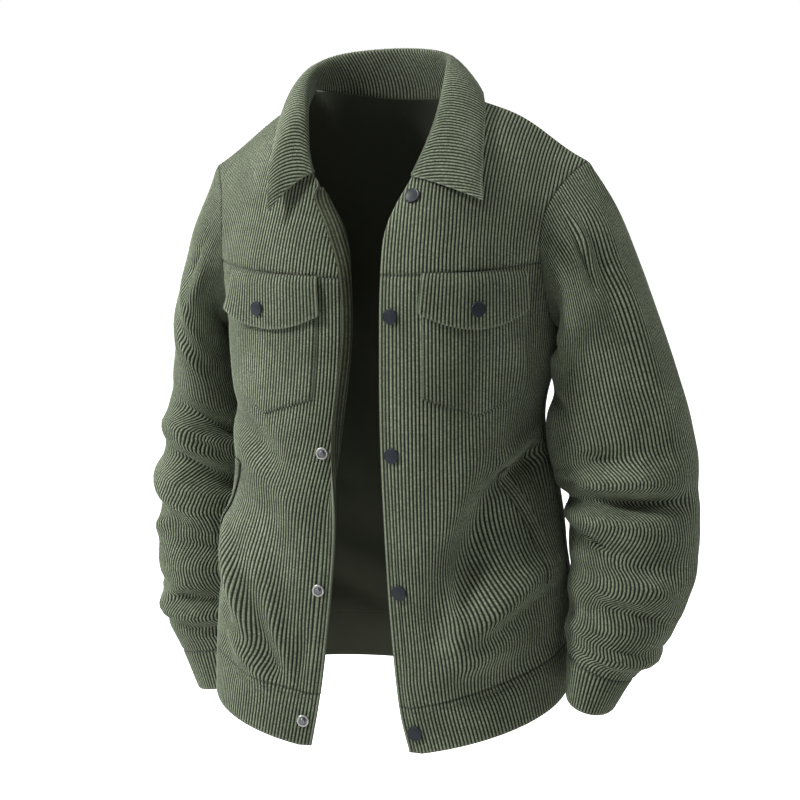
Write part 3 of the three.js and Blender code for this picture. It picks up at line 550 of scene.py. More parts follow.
FINE_SLEEVE = {
    Side.LEFT: (
        Crease(34, 0.2, 38, 4.8, 15, 4.5, 1.5),
        Crease(56, 0.5, 53, 4.0, 14, -4),
        Crease(66, 0.2, 62, 1.7, 5, 4),
        Crease(76, 0.3, 72, 1.9, 6, -4.5),
        Crease(150, 1.8, 126, 2.4, 7, -5),
        Crease(152, 3.4, 124, 3.9, 7, -8),
        Crease(118, 4.95, 82, 5.35, 6, -6.5, 1.4),
        Crease(150, 5.85, 110, 6.05, 7, -9),
        Crease(104, 6.12, 26, 6.26, 6, -8, 1.5),
        Crease(100, 5.82, 34, 5.9, 10, 5),
        Crease(138, 7.3, 96, 7.52, 7, -9),
        Crease(80, 7.9, 40, 8.3, 9, 5),
        Crease(120, 8.5, 84, 9.0, 8, -5),
        SleeveFold(5.7, 128, 26, 0.3, 0.1, -6.5, 1.8),
        SleeveFold(6.62, 100, 60, 0.12, 0.1, 4, 2.2),
        SleeveFold(7.9, 110, 44, 0.5, 0.12, -5, 1.8),
        SleeveFold(8.8, 60, 50, -0.4, 0.16, -5, 1.6),
        SleeveFold(9.7, 120, 44, 0.5, 0.14, 4),
        SleeveFold(9.9, 40, 60, 0.2, 0.16, -4),
    ),
    Side.RIGHT: (
        Crease(96, 0.5, 70, 1.6, 7, -5),
        Crease(110, 1.0, 84, 2.1, 8, 4.5),
        Crease(88, 5.3, 128, 5.5, 7, -8),
        Crease(78, 6.35, 132, 6.4, 7, -9),
        Crease(18, 7.72, 60, 7.28, 8, 6.5),
        Crease(60, 7.28, 124, 7.45, 8, 6.5),
        Crease(34, 9.22, 78, 8.8, 8, 6.5),
        Crease(60, 3.0, 110, 3.6, 9, 4),
        SleeveFold(2.4, 84, 30, 0.9, 0.24, 4, 1.5),
        SleeveFold(5.2, 64, 40, -0.4, 0.12, 4.5, 1.6),
        SleeveFold(5.9, 70, 36, 0.5, 0.12, -5, 1.6),
        SleeveFold(6.45, 50, 40, 0.2, 0.12, 4, 1.8),
        SleeveFold(7.9, 110, 50, 0.4, 0.12, -5, 1.8),
        SleeveFold(8.9, 30, 40, 0.2, 0.14, 4),
        SleeveFold(10.1, 60, 60, 0.3, 0.14, 5, 1.8),
    ),
}


@dataclass(frozen=True)
class Form:
    """The jacket's surfaces, the middle of each wall, as points in millimetres."""

    fine_front: dict[Side, tuple[Fold, ...]] = field(default_factory=dict)
    fine_back: tuple[Fold, ...] = ()
    fine_sleeve: dict[Side, tuple[SleeveFold | Crease, ...]] = field(default_factory=dict)

    def seam(self, side: Side, back: bool, level: Array) -> Array:
        """Follows the side seam and then the armhole, in the +X half.

        Args:
            side: Which half's seam.
            back: Whether it is the back's edge of the armhole.
            level: Levels up.

        Returns:
            One point for each level.
        """
        armhole = BACK_ARMHOLE if back else FRONT_ARMHOLE
        below = (level <= UNDERARM_LEVEL)[..., None]
        points = np.where(below, SIDE_SEAM[side].point(level), armhole.point(level))
        if side is Side.RIGHT:
            points[..., 2] -= LOWER_SHOULDER * smoothstep(level, UNDERARM_LEVEL, 5.5)
        return points

    @staticmethod
    def row(inner: Array, outer: Array, turn_in: Array, turn_out: Array, s: Array) -> Array:
        """Bends a row of one quarter of the body from its inner point to the seam.

        Args:
            inner, outer: The row's ends, in the +X half.
            turn_in, turn_out: The way the row heads at its ends, in radians.
            s: Shares along the row.

        Returns:
            One point for each share.
        """
        reach = np.hypot(outer[..., 0] - inner[..., 0], outer[..., 1] - inner[..., 1]) * HANDLE
        b, c = inner.copy(), outer.copy()
        b[..., 0] += np.cos(turn_in) * reach
        b[..., 1] -= np.sin(turn_in) * reach
        c[..., 0] -= np.cos(turn_out) * reach
        c[..., 1] -= np.sin(turn_out) * reach
        points = bezier(inner, b, c, outer, s)
        points[..., 2] = inner[..., 2] + (outer[..., 2] - inner[..., 2]) * s
        return points

    def smooth_front(self, side: Side, s: Array, level: Array) -> Array:
        """Places points on a front without its folds.

        Args:
            side: Which front.
            s: -1 at the front edge, 0 at the line where it may roll, 1 at the side seam.
            level: Levels up.

        Returns:
            One point for each place.
        """
        s, level = np.broadcast_arrays(np.asarray(s, float), np.asarray(level, float))
        edge = FRONT_EDGE[side]
        line = edge.point(level)
        turn = np.radians(edge.value("turn", level))
        along = np.maximum(-s, 0) * edge.value("strip", level)
        roll = np.radians(np.maximum(edge.value("roll", level), 0))
        bent = np.minimum(along, EDGE_ROLL_RADIUS * roll)
        angle = bent / EDGE_ROLL_RADIUS
        flat = along - bent
        back = -(EDGE_ROLL_RADIUS * np.sin(angle) + flat * np.cos(angle))
        forward = EDGE_ROLL_RADIUS * (1 - np.cos(angle)) + flat * np.sin(angle)
        strip = line.copy()
        strip[..., 0] += back * np.cos(turn) + forward * np.sin(turn)
        strip[..., 1] += -back * np.sin(turn) - forward * np.cos(turn)
        end = np.radians(ROW_END.value("front", level))
        main = self.row(line, self.seam(side, False, level), turn, end, np.maximum(s, 0))
        upper = smoothstep(level, BACK_RISE_FROM, SHOULDER_LEVEL)
        main[..., 2] += SHOULDER_CROWN[side] * np.sin(np.pi * np.maximum(s, 0)) ** 2 * upper
        points = np.where((s < 0)[..., None], strip, main)
        points[..., 0] *= side.value
        return points

    def front_fold(self, side: Side, s: Array, level: Array) -> Array:
        """Adds up the folds of a front.

        Args:
            side: Which front.
            s: Shares across.
            level: Levels up.

        Returns:
            The height of the folds at each place.
        """
        points = self.smooth_front(side, s, level)
        fade = smoothstep(1 - s, 0, 0.14) * (1 - smoothstep(level, 6, 7)) * smoothstep(s, -1, 0.4)
        fade = fade * smoothstep(level, -0.9, 0.4)
        x, z = points[..., 0] * side.value, points[..., 2]
        folds = FRONT_FOLDS[side] + self.fine_front.get(side, ())
        return sum(fold.rise(x, z) for fold in folds) * fade

    def front(self, side: Side, s: Array, level: Array) -> Array:
        """Places points on a front with its folds.

        Args:
            side: Which front.
            s: Shares across.
            level: Levels up.

        Returns:
            One point for each place.
        """
        s, level = np.broadcast_arrays(np.asarray(s, float), np.asarray(level, float))
        smooth: Surface = lambda a, b: self.smooth_front(side, a, b)
        out = normal_of(smooth, s, level, side.value)
        return smooth(s, level) + out * self.front_fold(side, s, level)[..., None]

    def back_top(self, side: Side, s: Array) -> Array:
        """Follows the neckline and then the shoulder seam, which the back shares with the front.

        Args:
            side: Which half.
            s: Shares from the nape to the shoulder tip.

        Returns:
            One point for each share.
        """
        top = np.full(s.shape, SHOULDER_LEVEL)
        shoulder = self.smooth_front(side, np.clip((s - NECK_SHARE) / (1 - NECK_SHARE), 0, 1), top)
        turn = s / NECK_SHARE * np.pi / 2
        corner = self.smooth_front(side, 0.0 * s, top)
        nape_y, nape_z = (CENTRE_BACK.value(n, np.array(SHOULDER_LEVEL)) for n in "yz")
        neck = np.stack(
            [
                corner[..., 0] * np.sin(turn),
                corner[..., 1] + (nape_y - corner[..., 1]) * np.cos(turn),
                nape_z * np.cos(turn) ** 2,
            ],
            -1,
        )
        return np.where((s > NECK_SHARE)[..., None], shoulder, neck)

    def back_row(self, side: Side, s: Array, level: Array) -> Array:
        """Places points on one half of the back before its shoulder is shaped.

        Args:
            side: Which half.
            s: Shares from the centre to the seam.
            level: Levels up.

        Returns:
            One point for each place.
        """
        y, z = (CENTRE_BACK.value(name, level) for name in "yz")
        inner = np.stack([0 * y, -y, z], -1)
        outer = self.seam(side, True, level)
        outer[..., 1] *= -1
        end = np.radians(ROW_END.value("back", level))
        return self.row(inner, outer, 0 * end, end, s) * np.array([side.value, -1, 1])

    def smooth_back(self, s: Array, level: Array) -> Array:
        """Places points on the back without its folds.

        Args:
            s: -1 at the side seam at -X, 0 at the centre, 1 at the side seam at +X.
            level: Levels up.

        Returns:
            One point for each place.
        """
        s, level = np.broadcast_arrays(np.asarray(s, float), np.asarray(level, float))
        share = np.minimum(np.abs(s), 1)
        rise = np.clip((level - BACK_RISE_FROM) / (SHOULDER_LEVEL - BACK_RISE_FROM), 0, 1) ** 1.6
        halves = []
        for side in (Side.RIGHT, Side.LEFT):
            top = np.full(share.shape, SHOULDER_LEVEL)
            shaped = self.back_top(side, share) - self.back_row(side, share, top)
            halves.append(self.back_row(side, share, level) + shaped * rise[..., None])
        return np.where((s < 0)[..., None], halves[0], halves[1])

    def back_fold(self, s: Array, level: Array) -> Array:
        """Adds up the folds of the back.

        Args:
            s: Shares across.
            level: Levels up.

        Returns:
            The height of the folds at each place.
        """
        points = self.smooth_back(s, level)
        fade = smoothstep(1 - np.abs(s), 0, 0.14) * (1 - smoothstep(level, 6, 8))
        fade = fade * smoothstep(level, -0.9, 0.4)
        return sum(f.rise(points[..., 0], points[..., 2]) for f in BACK_FOLDS + self.fine_back) * fade

    def back(self, s: Array, level: Array) -> Array:
        """Returns points on the back with its folds."""
        out = normal_of(self.smooth_back, s, level, -1)
        return self.smooth_back(s, level) + out * self.back_fold(s, level)[..., None]

    def armhole(self, side: Side, turn: Array) -> Array:
        """Follows the armhole: 0 at the underarm, up the front, 0.5 at the top, down the back.

        Args:
            side: Which half.
            turn: Shares round the armhole.

        Returns:
            One point for each share.
        """
        share = np.where(turn <= 0.5, turn * 2, 2 - turn * 2)
        level = UNDERARM_LEVEL + (SHOULDER_LEVEL - UNDERARM_LEVEL) * share
        level = np.maximum(level, UNDERARM_LEVEL + 1e-6)
        ahead = (turn <= 0.5)[..., None]
        points = np.where(ahead, self.seam(side, False, level), self.seam(side, True, level))
        return points * np.array([side.value, 1, 1])

    @staticmethod
    def ring(side: Side, turn: Array, ring: Array) -> Array:
        """Places points on a sleeve's own rings.

        Args:
            side: Which sleeve.
            turn: Shares round it, as the armhole's.
            ring: Places down it.

        Returns:
            One point for each place.
        """
        x_in, z_in, x_out, z_out, y_mid, depth = (
            SLEEVE[side].value(name, ring) for name in SLEEVE_NAMES[1:]
        )
        angle = np.pi - turn * 2 * np.pi
        share = (1 + np.cos(angle)) / 2
        x = (x_in + (x_out - x_in) * share) * side.value
        return np.stack([x, y_mid - depth * np.sin(angle), z_in + (z_out - z_in) * share], -1)

    def smooth_sleeve(self, side: Side, turn: Array, ring: Array) -> Array:
        """Places points on a sleeve without its folds.

        Args:
            side: Which sleeve.
            turn: Shares round it.
            ring: Places down it, from 0 at the armhole.

        Returns:
            One point for each place.
        """
        turn, ring = np.broadcast_arrays(np.asarray(turn, float), np.asarray(ring, float))
        turn = turn - np.floor(turn + 1e-9)
        fade = np.clip(1 - ring / ARMHOLE_REACH, 0, 1) ** 2
        shift = self.armhole(side, turn) - self.ring(side, turn, 0 * ring)
        return self.ring(side, turn, ring) + shift * fade[..., None]

    def sleeve_fold(self, side: Side, turn: Array, ring: Array) -> Array:
        """Adds up the folds of a sleeve.

        Args:
            side: Which sleeve.
            turn: Shares round it.
            ring: Places down it.

        Returns:
            The height of the folds at each place.
        """
        folds = SLEEVE_FOLDS[side] + self.fine_sleeve.get(side, ())
        fade = smoothstep(ring, 0.1, 1.2) * (1 - smoothstep(ring, 10.4, CUFF_SEAM))
        return sum(fold.rise(180 - turn * 360, ring) for fold in folds) * fade

    def sleeve(self, side: Side, turn: Array, ring: Array) -> Array:
        """Places points on a sleeve with its folds.

        Args:
            side: Which sleeve.
            turn: Shares round it.
            ring: Places down it.

        Returns:
            One point for each place.
        """
        turn, ring = np.broadcast_arrays(np.asarray(turn, float), np.asarray(ring, float))
        smooth: Surface = lambda a, b: self.smooth_sleeve(side, a, b)
        out = normal_of(smooth, turn, ring, -side.value)
        return smooth(turn, ring) + out * self.sleeve_fold(side, turn, ring)[..., None]

    def neckline(self, around: Array) -> Array:
        """Follows the seam of the collar, from the neck point at -X to the one at +X.

        Args:
            around: Shares along the seam.

        Returns:
            One point for each share.
        """
        halves = []
        for side, share in ((Side.RIGHT, around * 4), (Side.LEFT, (1 - around) * 4)):
            level = NECK_LEVEL + (SHOULDER_LEVEL - NECK_LEVEL) * np.clip(share, 0, 1)
            ahead = self.smooth_front(side, -1 + 0 * share, level)
            behind = self.back_top(side, np.clip(NECK_SHARE * (2 - share), 0, NECK_SHARE))
            halves.append(np.where((share <= 1)[..., None], ahead, behind))
        points = np.where((around < 0.5)[..., None], halves[0], halves[1])
        return points + np.array([0, 0, STAND_LIFT])

    def collar(self, around: Array, height: Array) -> Array:
        """Places points on the collar.

        Args:
            around: Shares along the neckline.
            height: 0 to 1 up the stand to the roll, 1 to 2 down the leaf to its edge.

        Returns:
            One point for each place.
        """
        around, height = np.broadcast_arrays(np.asarray(around, float), np.asarray(height, float))
        seam = self.neckline(np.clip(around, 0, 1))
        roll = np.stack([COLLAR.value(name, around) for name in ("rx", "ry", "rz")], -1)
        leaf = np.stack([COLLAR.value(name, around) for name in ("lx", "ly", "lz")], -1)
        out = leaf - roll
        out[..., 2] = 0
        out = unit(out)
        far = np.linalg.norm(seam - roll, axis=-1)[..., None]
        rise = seam + np.array([0, 0, 0.45]) * far
        inwards = roll - out * np.minimum(ROLL_RADIUS, far * 0.4)
        stand = bezier(seam, rise, inwards, roll, height)
        over = roll + out * ROLL_RADIUS
        fall = leaf * 0.55 + over * 0.45 + out * ROLL_RADIUS * 0.7
        fallen = bezier(roll, over, fall, leaf, height - 1)
        return np.where((height <= 1)[..., None], stand, fallen)


@dataclass(frozen=True)
class Chest:
    """Finds places on a front by how far across from its edge and at what height they lie."""

    form: Form
    side: Side
    shares: Array = field(default_factory=lambda: np.linspace(-1, 1, 161))
    levels: Array = field(default_factory=lambda: np.linspace(WAISTBAND_LEVEL, SHOULDER_LEVEL, 177))

    def tables(self) -> tuple[Array, Array]:
        """Measures the front once.

        Returns:
            The distance across and the height, at each level and share.
        """
        grid = self.form.front(self.side, self.shares[None, :], self.levels[:, None])
        steps = np.linalg.norm(np.diff(grid, axis=1), axis=-1)
        across = np.concatenate([np.zeros((len(self.levels), 1)), np.cumsum(steps, 1)], 1)
        smooth = self.form.smooth_front(self.side, self.shares[None, :], self.levels[:, None])
        return across, smooth[..., 2]

    def read(self, table: Array, s: Array, level: Array) -> Array:
        """Reads a table between its rows and columns.

        Args:
            table: Values at each level and share.
            s: Shares across.
            level: Levels up.

        Returns:
            One value for each place.
        """
        column = np.clip((s + 1) / 2 * (len(self.shares) - 1), 0, len(self.shares) - 1.001)
        top = (level - WAISTBAND_LEVEL) / (SHOULDER_LEVEL - WAISTBAND_LEVEL)
        row = np.clip(top * (len(self.levels) - 1), 0, len(self.levels) - 1.001)
        i, j = column.astype(int), row.astype(int)
        fi, fj = column - i, row - j
        low = table[j, i] * (1 - fi) + table[j, i + 1] * fi
        high = table[j + 1, i] * (1 - fi) + table[j + 1, i + 1] * fi
        return low * (1 - fj) + high * fj

    def find(self, across: Array, z: Array) -> tuple[Array, Array]:
        """Solves for the share and level of places on the front.

        Args:
            across: Distances from the front edge.
            z: Heights.

        Returns:
            The share and the level of each place.
        """
        reach, height = self.tables()
        s, level = 0.2 + 0 * across, 3.0 + 0 * across
        d = 0.02
        for _ in range(14):
            off_u = across - self.read(reach, s, level)
            off_z = z - self.read(height, s, level)
            us = (self.read(reach, s + d, level) - self.read(reach, s - d, level)) / (2 * d)
            uv = (self.read(reach, s, level + d) - self.read(reach, s, level - d)) / (2 * d)
            zs = (self.read(height, s + d, level) - self.read(height, s - d, level)) / (2 * d)
            zv = (self.read(height, s, level + d) - self.read(height, s, level - d)) / (2 * d)
            size = us * zv - uv * zs
            size = np.where(np.abs(size) < 1e-6, 1e-6, size)
            s = np.clip(s + (off_u * zv - uv * off_z) / size, -0.99, 0.99)
            level = np.clip(level + (us * off_z - zs * off_u) / size, WAISTBAND_LEVEL, 9.9)
        return s, level

    def place(self, across: Array, z: Array, out: Array) -> Array:
        """Places points on the front, moved out from its cloth.

        Args:
            across: Distances from the front edge.
            z: Heights.
            out: How far each stands off.

        Returns:
            One point for each place.
        """
        s, level = self.find(np.asarray(across, float), np.asarray(z, float))
        surface: Surface = lambda a, b: self.form.front(self.side, a, b)
        normal = normal_of(surface, s, level, self.side.value)
        return surface(s, level) + normal * np.asarray(out)[..., None]


@dataclass(frozen=True)
class Stitching:
    """One line of stitches along an edge of a cut piece."""

    edge: Edge
    inset: float  # how far in from the edge
    start: float = 0.0  # how far from the line's ends it stops
    stop: float = 0.0
    depth: float = 0.55  # how far it draws the pile down
    # how much painted shade darkens the groove along the stitches
    shade: float = 0.5


@dataclass(frozen=True)
class Wall:
    """Heights of the cloth's two faces from the middle of its wall."""

    valley: float = 0.2
    rib: float = 1.1
    back: float = 1.1


MAIN_WALL = Wall()
COLLAR_WALL = Wall(valley=0.5, rib=0.95, back=1.3)
PATCH_WALL = Wall(valley=0.1, rib=0.9, back=0.75)


@dataclass
class Layout:
    """Where a piece's wales lie: arrays of rows by columns, all in millimetres but the shares."""

    share: Array
    level: Array
    across: Array
    along: Array
    phase: Array
    near: dict[Edge, Array]


@dataclass
class Panel:
    """One cut piece of cloth: a grid of wales on a surface, with two faces and a rim."""

    name: str
    surface: Surface
    way: float
    span: tuple[float, float]
    rise: tuple[float, float]
    grain: float
    seams: tuple[Edge, ...] = ()
    lines: tuple[Stitching, ...] = ()
    sway: Surface | None = None
    plumb: tuple[float, float] | None = None  # how far out the grain line lies at the bottom and top
    spread: float = 1.0
    middle: float = 0.5
    row_gap: float = 7.0
    pitch: float = WALE_PITCH
    per_wale: int = 4
    wall: Wall = MAIN_WALL
    closed: bool = False
    sink: float = 0.0
    stitch_gap: float = 3.3
    # Painted shade: the colour is darkened low on the rise, fading out between the two given levels.
    shadow: tuple[float, float, float] = (0.0, 0.0, 1.0)  # darkness low on the rise, and where it fades

    def rows(self) -> tuple[Array, Array]:
        """Spaces the rows out along the cloth, closer together at edges and stitches.

        Returns:
            The level of each row, and its distance from the bottom.
        """
        low, high = self.rise
        fine = np.linspace(low, high, SAMPLES_ALONG)
        line = self.surface(np.full(SAMPLES_ALONG, self.grain), fine)
        along = np.concatenate([[0], np.cumsum(np.linalg.norm(np.diff(line, axis=0), axis=-1))])
        length = along[-1]
        count = max(int(round(length / self.row_gap)), 3)
        wanted = list(np.linspace(0, length, count + 1))
        extra = [1.0, 2.6, length - 1.0, length - 2.6]
        for stitches in self.lines:
            if stitches.edge is Edge.BOTTOM:
                extra += [stitches.inset + d for d in (-1.2, 0, 1.2)]
            if stitches.edge is Edge.TOP:
                extra += [length - stitches.inset + d for d in (-1.2, 0, 1.2)]
        kept = [w for w in wanted if min(abs(w - e) for e in extra) > 1.3 or w in (0, length)]
        at = np.array(sorted(kept + extra))
        return np.interp(at, along, fine), at

    def lay(self) -> Layout:
        """Lays the wales on the surface at their pitch.

        Returns:
            Where every point of the grid lies.
        """
        levels, along = self.rows()
        s = np.linspace(*self.span, SAMPLES_ACROSS)
        grid = self.surface(s[None, :], levels[:, None])
        steps = np.linalg.norm(np.diff(grid, axis=1), axis=-1)
        reach = np.concatenate([np.zeros((len(levels), 1)), np.cumsum(steps, 1)], 1)
        if self.plumb:
            part = s >= 0
            out = np.interp(along, [0, along[-1]], self.plumb)
            width = np.abs(grid[..., 0])
            grain = [np.interp(o, w[part], r[part]) for o, w, r in zip(out, width, reach)]
        else:
            grain = [np.interp(self.grain, s, r) for r in reach]
        reach -= np.array(grain)[:, None]
        chosen = reach[np.argmin(np.abs(along - along[-1] * self.middle))]
        reach = self.spread * reach + (1 - self.spread) * chosen
        step = self.pitch / self.per_wale
        low, high = math.floor(reach.min() / step), math.ceil(reach.max() / step)
        pad = 2 * self.per_wale * 3 if self.sway else 0
        columns = np.arange(low - pad, high + pad + 1) * step
        level = np.repeat(levels[:, None], len(columns), 1)

        def share_of(target: Array) -> Array:
            """Returns the share at each distance across, row by row."""
            return np.stack([np.interp(target[j], reach[j], s) for j in range(len(levels))])

        ends = reach[:, :1], reach[:, -1:]
        target = np.clip(np.repeat(columns[None, :], len(levels), 0), *ends)
        sway = self.sway(share_of(target), level) if self.sway else 0 * target
        target = np.clip(columns[None, :] + sway, *ends)
        near = {
            Edge.START: target - ends[0],
            Edge.END: ends[1] - target,
            Edge.BOTTOM: np.repeat(along[:, None], len(columns), 1),
            Edge.TOP: np.repeat(along[-1] - along[:, None], len(columns), 1),
        }
        if self.closed:
            near[Edge.START] = near[Edge.END] = near[Edge.START] + 1000
        rows = np.repeat(along[:, None], len(columns), 1)
        phase = (target - sway) / self.pitch
        return Layout(share_of(target), level, target, rows, phase, near)

    def normals(self, share: Array, level: Array) -> Array:
        """Returns the way out at each place, taken just inside the piece's edges."""
        inside = 2 * STEP
        if not self.closed:
            share = np.clip(share, self.span[0] + inside, self.span[1] - inside)
        return normal_of(
            self.surface, share, np.clip(level, self.rise[0] + inside, self.rise[1] - inside), self.way
        )

    def heights(self, laid: Layout) -> tuple[Array, Array, Array, Array]:
        """Works out the cloth's two faces.

        Args:
            laid: Where the grid's points lie.

        Returns:
            The outer face's and the inner face's height from the middle, how much painted shade darkens
            each point in a seam, along a line of stitches or low on the rise, and how worn it is.
        """
        wall = self.wall
        rib = np.abs(np.sin(np.pi * laid.phase)) ** 0.6
        uneven = 0.94 + 0.06 * np.sin(laid.phase * 2.4 + laid.along * 0.11)
        uneven = uneven + 0.05 * np.sin(laid.along * 0.53 + np.floor(laid.phase) * 2.1)
        outer = wall.valley + wall.rib * rib * uneven
        inner = np.full(outer.shape, -wall.back)
        painted_shade, worn = np.zeros(outer.shape), np.zeros(outer.shape)
        for edge, near in laid.near.items():
            close = np.exp(-((near / 1.2) ** 2))
            if edge in self.seams:
                outer = outer - (outer - 0.05) * close
                # Painted shade: the groove of a seam is darkened in colour.
                painted_shade = np.maximum(painted_shade, close)
            else:
                outer = outer - (outer * 0.62 - 0.1) * close
                inner = inner + (wall.back - 0.35) * np.exp(-((near / 1.2) ** 2))
                worn = np.maximum(worn, np.exp(-((near / 2.2) ** 2)))
        for line in self.lines:
            off = np.exp(-(((laid.near[line.edge] - line.inset) / 0.85) ** 2))
            off = off * self.within(line, laid)
            outer = outer - line.depth * off
            # Painted shade: the groove along the stitches is darkened in colour.
            painted_shade = np.maximum(painted_shade, line.shade * off)
        # Painted shade low on the rise, such as inside the collar's stand.
        dark, whole, gone = self.shadow
        painted_shade = np.maximum(painted_shade, dark * (1 - smoothstep(laid.level, whole, gone)))
        if self.sink:
            sunk = np.zeros(outer.shape)
            for edge in self.seams:
                sunk = np.maximum(sunk, np.exp(-((laid.near[edge] / 2.4) ** 2)))
            outer, inner = outer - self.sink * sunk, inner - self.sink * sunk
        return outer, inner, painted_shade, worn

    @staticmethod
    def within(line: Stitching, laid: Layout) -> Array:
        """Returns 1 where a line of stitches runs, and 0 past its ends."""
        cross = line.edge in (Edge.BOTTOM, Edge.TOP)
        first = laid.near[Edge.START if cross else Edge.BOTTOM]
        last = laid.near[Edge.END if cross else Edge.TOP]
        return (first >= line.start - 0.6) * (last >= line.stop - 0.6) * 1.0

    def build(self, finishes: list[bpy.types.Material]) -> bpy.types.Object:
        """Makes the piece.

        Args:
            finishes: The materials of the wale side and of the wrong side.

        Returns:
            The finished object.
        """
        laid = self.lay()
        middle = self.surface(laid.share, laid.level)
        normal = self.normals(laid.share, laid.level)
        outer, inner, painted_shade, worn = self.heights(laid)
        rows, columns = laid.share.shape
        face = (middle + normal * outer[..., None]).reshape(-1, 3) * MM
        lining = (middle + normal * inner[..., None]).reshape(-1, 3) * MM
        bm = bmesh.new()
        bmesh.ops.create_grid(bm, x_segments=columns - 1, y_segments=rows - 1, size=1)
        number = bm.verts.layers.int.new("number")
        bm.verts.ensure_lookup_table()
        flat = (middle * MM).reshape(-1, 3)
        for k, vert in enumerate(bm.verts):
            vert[number] = k
            vert.co = flat[k]
        bmesh.ops.remove_doubles(bm, verts=bm.verts[:], dist=1e-6)
        grown = bmesh.ops.extrude_face_region(bm, geom=bm.faces[:], use_keep_orig=True)
        out = {v for v in grown["geom"] if isinstance(v, bmesh.types.BMVert)}
        for vert in bm.verts:
            vert.co = face[vert[number]] if vert in out else lining[vert[number]]
        bmesh.ops.recalc_face_normals(bm, faces=bm.faces[:])
        for piece in bm.faces:
            piece.smooth = True
            piece.material_index = 1 if not any(v in out for v in piece.verts) else 0
        mesh = bpy.data.meshes.new(self.name)
        bm.to_mesh(mesh)
        bm.free()
        self.paint(mesh, laid, painted_shade, worn)
        for finish in finishes:
            mesh.materials.append(finish)
        return Shop.put(self.name, mesh)

    @staticmethod
    def paint(mesh: bpy.types.Mesh, laid: Layout, painted_shade: Array, worn: Array) -> None:
        """Writes the cloth's own coordinates: wales across and along, painted shade and wear.

        Args:
            mesh: The piece's mesh, with its number layer.
            laid: Where the grid's points lie.
            painted_shade: How much painted shade darkens each point, in seams, along stitches and low on
                the rise.
            worn: How worn each point is.
        """
        number = np.zeros(len(mesh.vertices), np.int32)
        mesh.attributes["number"].data.foreach_get("value", number)
        corner = np.zeros(len(mesh.loops), np.int32)
        mesh.loops.foreach_get("vertex_index", corner)
        wales = np.stack([laid.phase.ravel(), laid.along.ravel() / WALE_PITCH], -1)[number]
        layer = mesh.uv_layers.new(name="wales")
        layer.data.foreach_set("uv", wales[corner].astype(np.float32).ravel())
        # The painted shade and the wear go to the mesh as attributes that the pile finish reads.
        for name, values in (("painted_shade", painted_shade), ("worn", worn)):
            attribute = mesh.attributes.new(name, "FLOAT", "POINT")
            attribute.data.foreach_set("value", values.ravel()[number].astype(np.float32))
        mesh.attributes.remove(mesh.attributes["number"])

    def seam_path(self, line: Stitching) -> tuple[Array, Array]:
        """Follows a line of stitches on the cloth.

        Args:
            line: Which line.

        Returns:
            Points at even steps along it, and the way out of the cloth at each.
        """
        levels, along = self.rows()
        s = np.linspace(*self.span, SAMPLES_ACROSS)
        if line.edge in (Edge.BOTTOM, Edge.TOP):
            inset = line.inset if line.edge is Edge.BOTTOM else along[-1] - line.inset
            level = np.interp(inset, along, levels)
            share, height = s, np.full(s.shape, level)
        else:
            grid = self.surface(s[None, :], levels[:, None])
            steps = np.linalg.norm(np.diff(grid, axis=1), axis=-1)
            reach = np.concatenate([np.zeros((len(levels), 1)), np.cumsum(steps, 1)], 1)
            if line.edge is Edge.END:
                reach = reach[:, -1:] - reach
                share = np.array([np.interp(line.inset, r[::-1], s[::-1]) for r in reach])
            else:
                share = np.array([np.interp(line.inset, r, s) for r in reach])
            height = levels
        path = self.surface(share, height)
        gone = np.concatenate([[0], np.cumsum(np.linalg.norm(np.diff(path, axis=0), axis=-1))])
        wanted = np.arange(line.start + 1.5, gone[-1] - line.stop - 1.5, self.stitch_gap)
        share, height = np.interp(wanted, gone, share), np.interp(wanted, gone, height)
        normal = self.normals(share, height)
        top = self.wall.valley + self.wall.rib * 0.8 - 0.62
        return self.surface(share, height) + normal * top, normal

    def thread(self, finish: bpy.types.Material) -> bpy.types.Object | None:
        """Sews the piece's lines of stitches.

        Args:
            finish: The thread's material.

        Returns:
            One object with all the stitches, or None where there are none.
        """
        if not self.lines:
            return None
        bm = bmesh.new()
        for line in self.lines:
            points, normals = self.seam_path(line)
            if len(points) < 3:
                continue
            Shop.stitches(bm, points, normals, unit(np.gradient(points, axis=0)))
        for face in bm.faces:
            face.smooth = True
        mesh = bpy.data.meshes.new(f"thread_{self.name}")
        bm.to_mesh(mesh)
        bm.free()
        mesh.materials.append(finish)
        return Shop.put(mesh.name, mesh)

    def flat_size(self) -> tuple[tuple[float, float], float]:
        """Measures the cut before it was sewn.

        Returns:
            Its width and length in metres, and its area in square metres.
        """
        levels, along = self.rows()
        s = np.linspace(*self.span, 161)
        grid = self.surface(s[None, :], levels[:, None]) * MM
        a, b = np.diff(grid, axis=1)[:-1], np.diff(grid, axis=0)[:, :-1]
        area = float(np.linalg.norm(np.cross(a, b), axis=-1).sum())
        width = float(np.linalg.norm(np.diff(grid, axis=1), axis=-1).sum(1).max())
        length = float(np.linalg.norm(np.diff(grid, axis=0), axis=-1).sum(0).max())
        width, length = round(width, 3), round(length, 3)
        return (width, length), round(min(max(area, 0.31 * width * length), width * length), 4)


